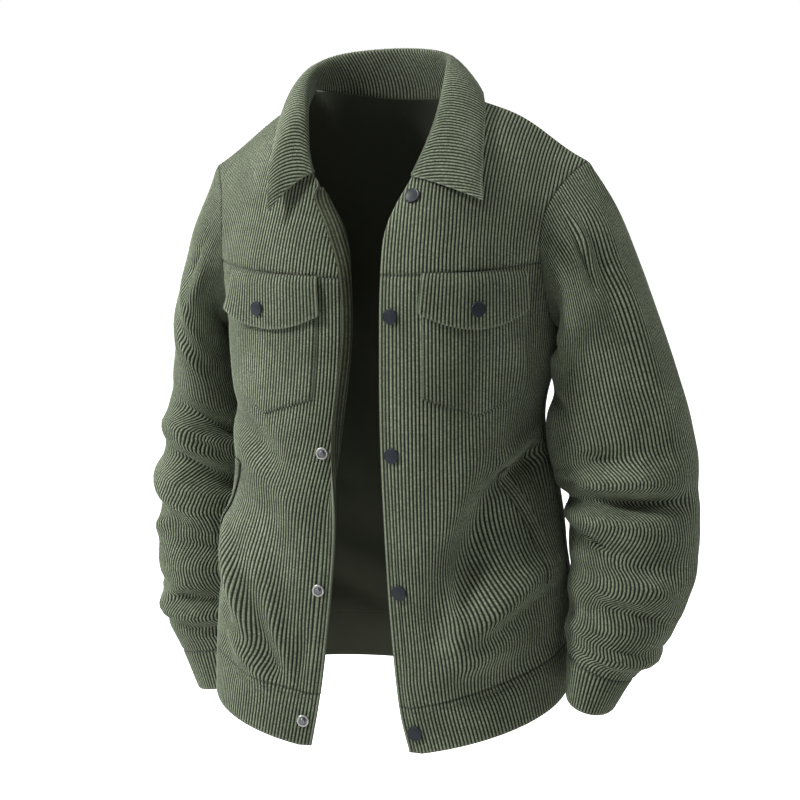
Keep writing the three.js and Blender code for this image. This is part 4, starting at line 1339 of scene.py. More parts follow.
class Shop:
    """Small jobs that every sub-assembly shares."""

    @staticmethod
    def put(name: str, mesh: bpy.types.Mesh) -> bpy.types.Object:
        """Puts a mesh into the scene, to ride on the jacket.

        Args:
            name: The piece's name.
            mesh: Its mesh, in place.

        Returns:
            The new object.
        """
        piece = bpy.data.objects.new(name, mesh)
        bpy.context.scene.collection.objects.link(piece)
        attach(piece, "root")
        return piece

    @staticmethod
    def stitches(bm: bmesh.types.BMesh, points: Array, normals: Array, ways: Array) -> None:
        """Adds a line of stitches, each a small rounded bead of thread.

        Args:
            bm: The mesh that they join.
            points: Their middles, in millimetres.
            normals: The way out of the cloth at each.
            ways: The way that the line runs at each.
        """
        bead = bmesh.new()
        bmesh.ops.create_icosphere(bead, subdivisions=1, radius=1)
        mesh = bpy.data.meshes.new("bead")
        for point, normal, way in zip(points, normals, ways):
            across = np.cross(normal, way)
            turn = Matrix([(way[k] * 1.25, across[k] * 0.42, normal[k] * 0.42) for k in range(3)])
            place = Matrix.Translation(Vector(point * MM)) @ (turn * MM).to_4x4()
            bmesh.ops.transform(bead, matrix=place, verts=bead.verts[:])
            bead.to_mesh(mesh)
            bm.from_mesh(mesh)
            bmesh.ops.transform(bead, matrix=place.inverted(), verts=bead.verts[:])
        bead.free()
        bpy.data.meshes.remove(mesh)

    @staticmethod
    def group(
        name: str, inputs: dict[str, tuple[str, object]], outputs: dict[str, str]
    ) -> tuple[bpy.types.NodeTree, bpy.types.Node, bpy.types.Node]:
        """Starts a shader group with named sockets.

        Args:
            name: The group's name.
            inputs: Socket names with their kind and value.
            outputs: Socket names with their kind.

        Returns:
            The group and its input and output nodes.
        """
        group = bpy.data.node_groups.new(name, "ShaderNodeTree")
        for label, (kind, value) in inputs.items():
            socket = group.interface.new_socket(name=label, in_out="INPUT", socket_type=kind)
            socket.default_value = value
        for label, kind in outputs.items():
            group.interface.new_socket(name=label, in_out="OUTPUT", socket_type=kind)
        return group, group.nodes.new("NodeGroupInput"), group.nodes.new("NodeGroupOutput")


class Nodes:
    """Short calls that add and join shader nodes in one tree."""

    def __init__(self, tree: bpy.types.NodeTree) -> None:
        """Keeps the tree that the calls add to."""
        self.tree = tree

    @classmethod
    def material(cls, name: str) -> tuple[bpy.types.Material, "Nodes", bpy.types.Node]:
        """Starts a material and returns it with its nodes and its shader."""
        material = bpy.data.materials.new(name)
        material.use_nodes = True
        return material, cls(material.node_tree), material.node_tree.nodes["Principled BSDF"]

    def add(self, kind: str) -> bpy.types.Node:
        """Adds a node of a kind."""
        return self.tree.nodes.new("ShaderNode" + kind)

    def feed(self, socket: bpy.types.NodeSocket, value: object) -> None:
        """Joins a socket to another, or sets its value."""
        if isinstance(value, bpy.types.NodeSocket):
            self.tree.links.new(value, socket)
        else:
            socket.default_value = value

    def math(self, operation: str, *values: object) -> bpy.types.NodeSocket:
        """Adds a math node and returns its output."""
        node = self.add("Math")
        node.operation = operation
        for socket, value in zip(node.inputs, values):
            self.feed(socket, value)
        return node.outputs[0]

    def ramp(
        self, value: object, low: float, high: float, to: tuple[float, float] = (0.0, 1.0)
    ) -> bpy.types.NodeSocket:
        """Adds a smooth map range node and returns its output."""
        node = self.add("MapRange")
        node.interpolation_type = "SMOOTHSTEP"
        for socket, item in zip(node.inputs, (value, low, high, *to)):
            self.feed(socket, item)
        return node.outputs[0]

    def mix(self, factor: object, a: object, b: object, blend: str = "MIX") -> bpy.types.NodeSocket:
        """Adds a colour mix and returns its output."""
        node = self.add("Mix")
        node.data_type, node.blend_type = "RGBA", blend
        self.feed(node.inputs[0], factor)
        self.feed(node.inputs[6], a)
        self.feed(node.inputs[7], b)
        return node.outputs[2]

    def noise(
        self, vector: object, scale: float, detail: float = 2.0, rough: float = 0.5
    ) -> bpy.types.NodeSocket:
        """Adds a noise texture and returns its value."""
        node = self.add("TexNoise")
        self.feed(node.inputs["Vector"], vector)
        node.inputs["Scale"].default_value = scale
        node.inputs["Detail"].default_value = detail
        node.inputs["Roughness"].default_value = rough
        return node.outputs["Fac"]

    def combine(self, *values: object) -> bpy.types.NodeSocket:
        """Joins numbers into a vector and returns it."""
        node = self.add("CombineXYZ")
        for socket, value in zip(node.inputs, values):
            self.feed(socket, value)
        return node.outputs[0]

    def along_wales(
        self, across: object, along: object, tight: tuple[float, float], detail: float, rough: float
    ) -> bpy.types.NodeSocket:
        """Adds a noise with its own tightness across and along the wales, and returns its value."""
        place = [self.math("MULTIPLY", part, k) for part, k in zip((across, along), tight)]
        return self.noise(self.combine(*place, 0.0), 1.0, detail, rough)

    def tone(self, colour: object, light: object) -> bpy.types.NodeSocket:
        """Returns a colour made lighter or darker."""
        return self.mix(1.0, colour, self.combine(light, light, light), "MULTIPLY")

    def cloth(self, group: bpy.types.NodeTree) -> bpy.types.Node:
        """Adds a cloth's own group, fed by the piece's wales, and returns it."""
        node, wales = self.add("Group"), self.add("UVMap")
        node.node_tree, wales.uv_map = group, "wales"
        self.feed(node.inputs["Wales"], wales.outputs[0])
        return node

    def bump(self, shader: bpy.types.Node, height: object, strength: float, distance: float) -> None:
        """Raises a shader's surface by a height."""
        bump = self.add("Bump")
        bump.inputs["Strength"].default_value = strength
        bump.inputs["Distance"].default_value = distance
        self.feed(bump.inputs["Height"], height)
        self.feed(shader.inputs["Normal"], bump.outputs[0])


def rgba(red: float, green: float, blue: float) -> tuple[float, float, float, float]:
    """Returns a linear colour as a socket wants it."""
    return (red, green, blue, 1.0)


def pile_group() -> bpy.types.NodeTree:
    """Builds the pile of corduroy: light ribs, valleys darkened with painted shade, crushed and faded
    patches.

    Returns:
        A group that puts out colour, roughness and height from the cloth's own coordinates.
    """
    group, into, out = Shop.group(
        "corduroy_pile",
        {
            "Wales": ("NodeSocketVector", (0, 0, 0)),
            "Place": ("NodeSocketVector", (0, 0, 0)),
            # Painted shade of seams, stitches and the collar's stand.
            "Painted_shade": ("NodeSocketFloat", 0.0),
            "Worn": ("NodeSocketFloat", 0.0),
            "Rib": ("NodeSocketColor", rgba(0.2, 0.2, 0.2)),
            # Valley: the near-black painted shade between the ribs.
            "Valley": ("NodeSocketColor", rgba(0.05, 0.05, 0.05)),
            "Faded": ("NodeSocketColor", rgba(0.3, 0.3, 0.3)),
        },
        {"Color": "NodeSocketColor", "Roughness": "NodeSocketFloat", "Height": "NodeSocketFloat"},
    )
    n = Nodes(group)
    split = group.nodes.new("ShaderNodeSeparateXYZ")
    n.feed(split.inputs[0], into.outputs["Wales"])
    across, along = split.outputs[0], split.outputs[1]
    off = n.math("ABSOLUTE", n.math("SUBTRACT", n.math("FRACT", across), 0.5))
    # Painted shade: the valleys between the ribs take the near-black Valley colour.
    valley = n.ramp(off, 0.12, 0.36)
    wale = n.math("FLOOR", across)
    fibre = n.along_wales(across, along, (4.0, 2.3), 3.0, 0.7)
    tuft = n.along_wales(wale, along, (7.31, 1.6), 2.0, 0.6)
    patch = n.noise(into.outputs["Place"], 22.0, 3.0, 0.55)
    colour = n.mix(valley, into.outputs["Rib"], into.outputs["Valley"])
    light = n.math("ADD", n.ramp(fibre, 0.34, 0.66, (0.68, 1.32)), n.ramp(tuft, 0.34, 0.66, (-0.2, 0.2)))
    light = n.math("MULTIPLY", light, n.ramp(patch, 0.3, 0.7, (0.9, 1.12)))
    colour = n.tone(colour, light)
    crest = n.math("MULTIPLY", n.math("SUBTRACT", 1.0, valley), n.ramp(patch, 0.42, 0.72, (0.1, 0.42)))
    crushed = n.math("MULTIPLY", crest, n.ramp(tuft, 0.35, 0.7))
    faded = n.math("MAXIMUM", crushed, n.math("MULTIPLY", into.outputs["Worn"], 0.22))
    colour = n.mix(faded, colour, into.outputs["Faded"])
    # Painted shade: darkens the colour by up to 55 percent in seams, along stitches and inside the collar's
    # stand.
    dark = n.math("SUBTRACT", 1.0, n.math("MULTIPLY", into.outputs["Painted_shade"], 0.55))
    n.feed(out.inputs["Color"], n.tone(colour, dark))
    n.feed(out.inputs["Roughness"], n.ramp(tuft, 0.2, 0.8, (0.82, 0.97)))
    height = n.math("ADD", n.math("MULTIPLY", fibre, 0.6), n.math("MULTIPLY", tuft, 0.5))
    n.feed(out.inputs["Height"], n.math("SUBTRACT", height, n.math("MULTIPLY", valley, 0.4)))
    return group


def weave_group() -> bpy.types.NodeTree:
    """Builds the flat twill of the cloth's wrong side.

    Returns:
        A group that puts out colour, roughness and height from the cloth's own coordinates.
    """
    group, into, out = Shop.group(
        "twill_weave",
        {
            "Wales": ("NodeSocketVector", (0, 0, 0)),
            "Yarn": ("NodeSocketColor", rgba(0.2, 0.2, 0.2)),
            "Gap": ("NodeSocketColor", rgba(0.05, 0.05, 0.05)),
        },
        {"Color": "NodeSocketColor", "Roughness": "NodeSocketFloat", "Height": "NodeSocketFloat"},
    )
    n = Nodes(group)
    split = group.nodes.new("ShaderNodeSeparateXYZ")
    n.feed(split.inputs[0], into.outputs["Wales"])
    across, along = split.outputs[0], split.outputs[1]
    slant = n.math("ADD", n.math("MULTIPLY", across, 4.0), n.math("MULTIPLY", along, 4.0))
    twill = n.ramp(n.math("ABSOLUTE", n.math("SUBTRACT", n.math("FRACT", slant), 0.5)), 0.1, 0.5)
    speck = n.along_wales(across, along, (3.0, 3.0), 4.0, 0.7)
    colour = n.mix(twill, into.outputs["Yarn"], into.outputs["Gap"])
    light = n.ramp(speck, 0.3, 0.7, (0.8, 1.2))
    n.feed(out.inputs["Color"], n.tone(colour, light))
    n.feed(out.inputs["Roughness"], n.ramp(speck, 0.2, 0.8, (0.85, 0.95)))
    n.feed(out.inputs["Height"], n.math("SUBTRACT", speck, n.math("MULTIPLY", twill, 0.6)))
    return group


@dataclass(frozen=True)
class PileFinish:
    """The wale side of the corduroy."""

    group: bpy.types.NodeTree
    name: str = "corduroy"
    rib: tuple[float, float, float] = (0.142, 0.168, 0.112)
    # Painted shade: the near-black colour of the valleys between the ribs.
    valley: tuple[float, float, float] = (0.01, 0.013, 0.0065)
    faded: tuple[float, float, float] = (0.25, 0.28, 0.21)
    sheen: float = 0.18

    def material(self) -> bpy.types.Material:
        """Builds the material.

        Returns:
            The material, reading the piece's own wales.
        """
        material, n, shader = Nodes.material(self.name)
        pile = n.cloth(self.group)
        n.feed(pile.inputs["Place"], n.add("TexCoord").outputs["Object"])
        # Reads the painted shade and the wear that are written on each piece.
        for label in ("Painted_shade", "Worn"):
            attribute = n.add("Attribute")
            attribute.attribute_name = label.lower()
            n.feed(pile.inputs[label], attribute.outputs["Fac"])
        for label, colour in (("Rib", self.rib), ("Valley", self.valley), ("Faded", self.faded)):
            pile.inputs[label].default_value = rgba(*colour)
        n.feed(shader.inputs["Base Color"], pile.outputs["Color"])
        n.feed(shader.inputs["Roughness"], pile.outputs["Roughness"])
        n.bump(shader, pile.outputs["Height"], 0.55, 0.0005)
        shader.inputs["Sheen Weight"].default_value = self.sheen
        shader.inputs["Sheen Roughness"].default_value = 0.4
        shader.inputs["Sheen Tint"].default_value = rgba(0.78, 0.85, 0.68)
        shader.inputs["Specular IOR Level"].default_value = 0.2
        return material


@dataclass(frozen=True)
class WeaveFinish:
    """The wrong side of the corduroy."""

    group: bpy.types.NodeTree
    name: str = "corduroy_wrong_side"
    yarn: tuple[float, float, float] = (0.05, 0.055, 0.035)
    gap: tuple[float, float, float] = (0.02, 0.022, 0.014)

    def material(self) -> bpy.types.Material:
        """Builds the material.

        Returns:
            The material, reading the piece's own wales.
        """
        material, n, shader = Nodes.material(self.name)
        weave = n.cloth(self.group)
        weave.inputs["Yarn"].default_value = rgba(*self.yarn)
        weave.inputs["Gap"].default_value = rgba(*self.gap)
        n.feed(shader.inputs["Base Color"], weave.outputs["Color"])
        n.feed(shader.inputs["Roughness"], weave.outputs["Roughness"])
        n.bump(shader, weave.outputs["Height"], 0.4, 0.0003)
        shader.inputs["Sheen Weight"].default_value = 0.12
        shader.inputs["Specular IOR Level"].default_value = 0.2
        return material


@dataclass(frozen=True)
class HardFinish:
    """Metal or enamel, with its colour and roughness broken up by fine scuffs."""

    name: str
    colour: tuple[float, float, float]
    scuffed: tuple[float, float, float]
    roughness: float
    metallic: float

    def material(self) -> bpy.types.Material:
        """Builds the material.

        Returns:
            The material, reading Object coordinates.
        """
        material, n, shader = Nodes.material(self.name)
        place = n.add("TexCoord").outputs["Object"]
        scuffs = n.noise(place, 900.0, 4.0, 0.7)
        clouds = n.noise(place, 160.0, 2.0, 0.5)
        mask = n.ramp(scuffs, 0.56, 0.74, (0.0, 0.6))
        n.feed(shader.inputs["Base Color"], n.mix(mask, rgba(*self.colour), rgba(*self.scuffed)))
        spread = (max(self.roughness - 0.08, 0.05), self.roughness + 0.12)
        n.feed(shader.inputs["Roughness"], n.ramp(clouds, 0.3, 0.7, spread))
        shader.inputs["Metallic"].default_value = self.metallic
        shader.inputs["Specular IOR Level"].default_value = 0.25
        n.bump(shader, scuffs, 0.12, 0.0001)
        return material


@dataclass(frozen=True)
class ThreadFinish:
    """Matt cotton thread, in the cloth's own colour."""

    name: str = "thread"
    colour: tuple[float, float, float] = (0.075, 0.09, 0.055)

    def material(self) -> bpy.types.Material:
        """Builds the material.

        Returns:
            The material, reading Object coordinates.
        """
        material, n, shader = Nodes.material(self.name)
        place = n.add("TexCoord").outputs["Object"]
        ply = n.noise(place, 1500.0, 2.0, 0.5)
        dark = tuple(c * 0.6 for c in self.colour)
        n.feed(shader.inputs["Base Color"], n.mix(n.ramp(ply, 0.4, 0.6), rgba(*self.colour), rgba(*dark)))
        n.feed(shader.inputs["Roughness"], n.ramp(ply, 0.2, 0.8, (0.6, 0.8)))
        return material


@dataclass
class Finishes:
    """Every material of the jacket, built once."""

    cloth: list[bpy.types.Material] = field(default_factory=list)
    facing: list[bpy.types.Material] = field(default_factory=list)
    cap: bpy.types.Material | None = None
    stud: bpy.types.Material | None = None
    socket: bpy.types.Material | None = None
    thread: bpy.types.Material | None = None

    def mix_up(self) -> "Finishes":
        """Builds the materials.

        Returns:
            This set, filled.
        """
        pile, weave = pile_group(), weave_group()
        wrong = WeaveFinish(weave).material()
        self.cloth = [PileFinish(pile).material(), wrong]
        # The facings take a darker copy of the pile finish, with near-black painted shade in its valleys as
        # well.
        inner = PileFinish(
            pile,
            "corduroy_facing",
            rib=(0.062, 0.07, 0.04),
            valley=(0.014, 0.016, 0.009),
            faded=(0.11, 0.12, 0.075),
            sheen=0.15,
        )
        self.facing = [inner.material(), wrong]
        slate, nickel, steel = (0.01, 0.013, 0.018), (0.42, 0.42, 0.4), (0.16, 0.17, 0.18)
        self.cap = HardFinish("slate_enamel", slate, (0.03, 0.035, 0.044), 0.42, 0.0).material()
        self.stud = HardFinish("nickel", nickel, (0.2, 0.2, 0.19), 0.34, 1.0).material()
        self.socket = HardFinish("dark_steel", steel, (0.3, 0.3, 0.3), 0.4, 1.0).material()
        self.thread = ThreadFinish().material()
        return self


@dataclass
class Tailor:
    finishes: Finishes
    triangles: int = 0

    def sew(
        self, panel: Panel, *rests_on: str, held: Held = Held.HUNG, facing: bool = False
    ) -> bpy.types.Object:
        """Makes a piece of cloth with its stitches, in place of the solid it is named after.

        Args:
            panel: The cut piece.
            rests_on: What it hangs from; not used.
            held: How it is held; not used.
            facing: Whether it takes the darker copy of the pile finish.

        Returns:
            The finished piece.
        """
        piece = panel.build(self.finishes.facing if facing else self.finishes.cloth)
        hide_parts(panel.name.removeprefix("cloth_"))
        thread = panel.thread(self.finishes.thread)
        flat, area = panel.flat_size()
        count = sum(len(p.vertices) - 2 for p in piece.data.polygons)
        self.triangles += count
        log.info("%s: %d triangles, flat %s m, %.4f m2", piece.name, count, flat, area)
        return piece


@dataclass
class Body:
    """The fronts, yokes, back and waistband."""

    form: Form
    row_gap: float = 7.0
    back_row_gap: float = 9.5
    band_row_gap: float = 6.0
    plumb: dict[Side, tuple[float, float]] = field(
        default_factory=lambda: {Side.LEFT: (120, 117), Side.RIGHT: (122, 96)}
    )
    edge_inset: float = 6.0
    band_inset: float = 6.0
    sway_gain: float = 0.9

    def front_panel(
        self,
        side: Side,
        name: str,
        rise: tuple[float, float],
        seams: tuple[Edge, ...],
        *lines: Stitching,
    ) -> Panel:
        """Cuts one piece of a front.

        Args:
            side: Which front.
            name: The piece's name.
            rise: Its levels, bottom and top.
            seams: The edges that are sewn to a neighbour.
            lines: Its lines of stitches.

        Returns:
            The cut piece.
        """
        return Panel(
            name=name,
            surface=lambda s, v: self.form.front(side, s, v),
            way=side.value,
            span=(-1.0, 1.0),
            rise=rise,
            grain=-0.999,
            seams=seams,
            lines=lines,
            sway=lambda s, v: self.sway(side, s, v),
            row_gap=self.row_gap,
        )

    def sway(self, side: Side, s: Array, level: Array) -> Array:
        """Bends the wales of a front sideways where the cloth hangs askew.

        Args:
            side: Which front.
            s: Shares across.
            level: Levels up.

        Returns:
            How far each place's wale runs towards the side seam, in millimetres.
        """
        fold = self.form.front_fold(side, s, level)
        free = smoothstep(s, -0.2, 0.5)
        low = np.exp(-(((level - 1.3) / 1.1) ** 2)) * (9 if side is Side.RIGHT else -5)
        high = np.exp(-(((level - 3.6) / 1.2) ** 2)) * (-5 if side is Side.RIGHT else 3)
        return (self.sway_gain * fold + low + high) * free

    def build(self, tailor: Tailor) -> None:
        """Sews the body's pieces."""
        for side in Side:
            label = side.label
            edge = Stitching(Edge.START, self.edge_inset)
            end, bottom, top = Edge.END, Edge.BOTTOM, Edge.TOP
            sewn = (end, bottom, top)
            front = self.front_panel(side, f"cloth_front_{label}", (HEM_LEVEL, YOKE_LEVEL), sewn, edge)
            lower_edge = Stitching(bottom, 2.0, start=8)
            yoke = self.front_panel(
                side, f"cloth_yoke_{label}", (YOKE_LEVEL, SHOULDER_LEVEL), sewn, lower_edge
            )
            yoke.plumb = self.plumb[side]
            band = self.front_panel(
                side,
                f"cloth_waistband_{label}",
                (WAISTBAND_LEVEL, HEM_LEVEL),
                (end, top),
                Stitching(top, self.band_inset),
                Stitching(Edge.START, self.edge_inset, stop=7),
            )
            band.row_gap = self.band_row_gap
            tailor.sew(front, f"yoke_{label}")
            tailor.sew(yoke, "back")
            tailor.sew(band, f"front_{label}")
        tailor.sew(self.back_panel("cloth_back", (HEM_LEVEL, SHOULDER_LEVEL)))
        tailor.sew(self.back_panel("cloth_waistband_back", (WAISTBAND_LEVEL, HEM_LEVEL)), "back")

    def back_panel(self, name: str, rise: tuple[float, float]) -> Panel:
        """Cuts the back or the back of the waistband.

        Args:
            name: The piece's name.
            rise: Its levels, bottom and top.

        Returns:
            The cut piece.
        """
        band = rise[1] <= HEM_LEVEL
        return Panel(
            name=name,
            surface=self.form.back,
            way=-1,
            span=(-1.0, 1.0),
            rise=rise,
            grain=0.0,
            seams=(Edge.START, Edge.END, Edge.TOP) + (() if band else (Edge.BOTTOM,)),
            lines=(Stitching(Edge.TOP, self.band_inset),) if band else (),
            sway=lambda s, v: self.sway_gain * self.form.back_fold(s, v),
            row_gap=self.band_row_gap if band else self.back_row_gap,
        )


@dataclass
class Sleeves:
    """The two-piece sleeves and their cuffs."""

    form: Form
    row_gap: float = 6.2
    sway_gain: float = 0.85
    top_grain: float = 0.33
    under_grain: float = 0.82

    def panel(self, side: Side, name: str, span: tuple[float, float], grain: float) -> Panel:
        """Cuts one piece of a sleeve.

        Args:
            side: Which sleeve.
            name: The piece's name.
            span: Its shares round the sleeve.
            grain: The share where the cloth's grain runs straight.

        Returns:
            The cut piece.
        """
        return Panel(
            name=name,
            surface=lambda s, v: self.form.sleeve(side, s, v),
            way=-side.value,
            span=span,
            rise=(0.0, CUFF_SEAM),
            grain=grain,
            seams=tuple(Edge),
            sway=lambda s, v: self.sway_gain * self.form.sleeve_fold(side, s, v),
            row_gap=self.row_gap,
        )

    def build(self, tailor: Tailor) -> None:
        """Sews both sleeves."""
        for side in Side:
            label = side.label
            top = self.panel(side, f"cloth_sleeve_top_{label}", (0.0, SLEEVE_SEAM), self.top_grain)
            under = self.panel(side, f"cloth_sleeve_under_{label}", (SLEEVE_SEAM, 1.0), self.under_grain)
            tailor.sew(top, f"yoke_{label}")
            tailor.sew(under, "back")
            cuff = Panel(
                name=f"cloth_cuff_{label}",
                surface=lambda s, v, side=side: self.form.sleeve(side, s, v),
                way=-side.value,
                span=(0.0, 1.0),
                rise=(CUFF_SEAM, CUFF_END),
                grain=self.top_grain,
                seams=(Edge.BOTTOM,),
                lines=(Stitching(Edge.BOTTOM, 2.2),),
                spread=0.0,
                row_gap=6.0,
                closed=True,
            )
            tailor.sew(cuff, f"sleeve_top_{label}")


@dataclass
class Collar:
    """The turned-down collar, stand and leaf in one."""

    form: Form
    leaf_inset: float = 4.5
    row_gap: float = 6.0

    def build(self, tailor: Tailor) -> None:
        """Sews the collar."""
        lines = tuple(Stitching(edge, self.leaf_inset, start=30, stop=6) for edge in (Edge.START, Edge.END))
        panel = Panel(
            name="cloth_collar",
            surface=self.form.collar,
            way=1,
            span=(0.0, 1.0),
            rise=(-0.05, 2.0),
            grain=0.5,
            seams=(Edge.BOTTOM,),
            lines=lines + (Stitching(Edge.TOP, self.leaf_inset, start=6, stop=6),),
            spread=0.55,
            middle=0.6,
            row_gap=self.row_gap,
            wall=COLLAR_WALL,
            # Painted shade inside the stand, fading out just past the roll.
            shadow=(0.8, 0.75, 1.05),
        )
        tailor.sew(panel, "back", held=Held.FOLDED)


@dataclass
class Pockets:
    """The chest pockets, their flaps and the welts of the hand pockets."""

    form: Form
    pocket_from: float = 46
    pocket_width: float = 115
    pocket_side: float = 129
    pocket_point: float = 149
    pocket_top: float = 13
    flap_from: float = 45
    flap_width: float = 113
    flap_side: float = 40
    flap_point: float = 57
    flap_flare: float = 3
    flap_lift: dict[Side, float] = field(default_factory=lambda: {Side.LEFT: 1, Side.RIGHT: 9})
    hand_pocket: dict[Side, tuple[float, ...]] = field(
        default_factory=lambda: {
            Side.LEFT: (138, -378, 184, -496),
            Side.RIGHT: (142, -386, 190, -500),
        }
    )
    welt_width: float = 14
    welt_lift: dict[Side, float] = field(default_factory=lambda: {Side.LEFT: 0.9, Side.RIGHT: 1.1})
    out: float = 2.5

    def yoke_height(self, side: Side, share: float) -> float:
        """Returns the height of the yoke seam at a share across."""
        return float(self.form.smooth_front(side, np.array(share), np.array(YOKE_LEVEL))[2])

    def pocket(self, side: Side) -> Panel:
        """Cuts a chest pocket, with its pointed lower edge.

        Args:
            side: Which front it is on.

        Returns:
            The cut piece.
        """
        chest = Chest(self.form, side)
        top = self.yoke_height(side, 0.6) - self.pocket_top

        def surface(a: Array, b: Array) -> Array:
            """Returns points of the pocket."""
            a, b = np.broadcast_arrays(np.asarray(a, float), np.asarray(b, float))
            drop = self.pocket_side + (self.pocket_point - self.pocket_side) * (1 - np.abs(2 * a - 1))
            across = self.pocket_from + self.pocket_width * a
            return chest.place(across, top - (drop - self.pocket_top) * (1 - b), self.out + 0 * a)

        sewn = (Edge.START, Edge.END, Edge.BOTTOM)
        return Panel(
            name=f"cloth_chest_pocket_{side.label}",
            surface=surface,
            way=side.value,
            span=(0.0, 1.0),
            rise=(0.0, 1.0),
            grain=0.5,
            seams=sewn,
            lines=tuple(Stitching(edge, 2.2) for edge in sewn),
            spread=0.0,
            row_gap=6.5,
            wall=PATCH_WALL,
            sink=0.45,
        )

    def flap(self, side: Side) -> Panel:
        """Cuts a pocket flap, with its bowed lower edge.

        Args:
            side: Which front it is on.

        Returns:
            The cut piece.
        """
        chest = Chest(self.form, side)
        top = self.yoke_height(side, 0.6) - 1.2
        lift = self.flap_lift[side]

        def surface(a: Array, b: Array) -> Array:
            """Returns points of the flap."""
            a, b = np.broadcast_arrays(np.asarray(a, float), np.asarray(b, float))
            down = np.clip(1 - b, 0, 1.01)
            drop = self.flap_side + (self.flap_point - self.flap_side) * (1 - (2 * a - 1) ** 2)
            across = self.flap_from + self.flap_width * a + self.flap_flare * down * (2 * a - 1)
            corner = lift * smoothstep(a, 0.55, 1) * down**1.5
            out = self.out + 2.45 * smoothstep(down, 0, 0.2) + 2 * down + corner
            return chest.place(across, top - drop * down, out)

        return Panel(
            name=f"cloth_pocket_flap_{side.label}",
            surface=surface,
            way=side.value,
            span=(0.0, 1.0),
            rise=(0.0, 1.0),
            grain=0.5,
            seams=(Edge.TOP,),
            lines=tuple(
                Stitching(edge, 5.0, start=5, stop=stop, depth=0.3, shade=0.22)
                for edge, stop in ((Edge.START, 0), (Edge.END, 0), (Edge.BOTTOM, 5))
            ),
            spread=0.0,
            row_gap=5.0,
            wall=PATCH_WALL,
            sink=0.3,
        )

    def welt(self, side: Side) -> Panel:
        """Cuts the welt of a slanted hand pocket.

        Args:
            side: Which front it is on.

        Returns:
            The cut piece.
        """
        chest = Chest(self.form, side)
        across0, z0, across1, z1 = self.hand_pocket[side]
        length = math.hypot(across1 - across0, z1 - z0)
        along_x, along_z = (across1 - across0) / length, (z1 - z0) / length

        def surface(a: Array, b: Array) -> Array:
            """Returns points of the welt."""
            a, b = np.broadcast_arrays(np.asarray(a, float), np.asarray(b, float))
            off = (a - 0.5) * self.welt_width + 7 * np.sin(np.pi * b)
            across = across0 + (across1 - across0) * b - along_z * off
            z = z0 + (z1 - z0) * b + along_x * off
            return chest.place(across, z, self.out + self.welt_lift[side] + 0 * a)

        return Panel(
            name=f"cloth_pocket_welt_{side.label}",
            surface=surface,
            way=-side.value,
            span=(0.0, 1.0),
            rise=(0.0, 1.0),
            grain=0.5,
            seams=(Edge.START, Edge.BOTTOM, Edge.TOP),
            lines=(Stitching(Edge.START, 2.0),),
            spread=0.0,
            row_gap=6.0,
            wall=PATCH_WALL,
            sink=0.8,
        )

    def build(self, tailor: Tailor) -> None:
        """Sews the pockets, flaps and welts."""
        for side in Side:
            label = side.label
            tailor.sew(self.pocket(side), f"front_{label}", held=Held.LAID)
            tailor.sew(self.flap(side), f"yoke_{label}")
            tailor.sew(self.welt(side), f"front_{label}", held=Held.LAID)


@dataclass
class Facings:
    """The strips of cloth inside the front edges, which show where an edge turns out."""

    form: Form
    inset: float = 2.3
    row_gap: float = 7.0

    def build(self, tailor: Tailor) -> None:
        """Sews both facings."""
        for side in Side:

            def surface(s: Array, v: Array, side: Side = side) -> Array:
                """Returns points of the facing, inside the front's own."""
                s, v = np.broadcast_arrays(np.asarray(s, float), np.asarray(v, float))
                front: Surface = lambda a, b: self.form.front(side, a, b)
                out = normal_of(front, np.maximum(s, 2 * STEP - 1), v, side.value)
                return front(s, v) - out * self.inset

            panel = Panel(
                name=f"cloth_facing_{side.label}",
                surface=surface,
                way=-side.value,
                span=(-1.0, FACING_SHARE),
                rise=(HEM_LEVEL, NECK_LEVEL - 0.25),
                grain=-0.999,
                seams=(Edge.END, Edge.BOTTOM),
                lines=(Stitching(Edge.START, 6.0),),
                row_gap=self.row_gap,
                wall=Wall(valley=0.0, rib=0.75, back=1.15),
            )
            tailor.sew(panel, f"front_{side.label}", facing=True)


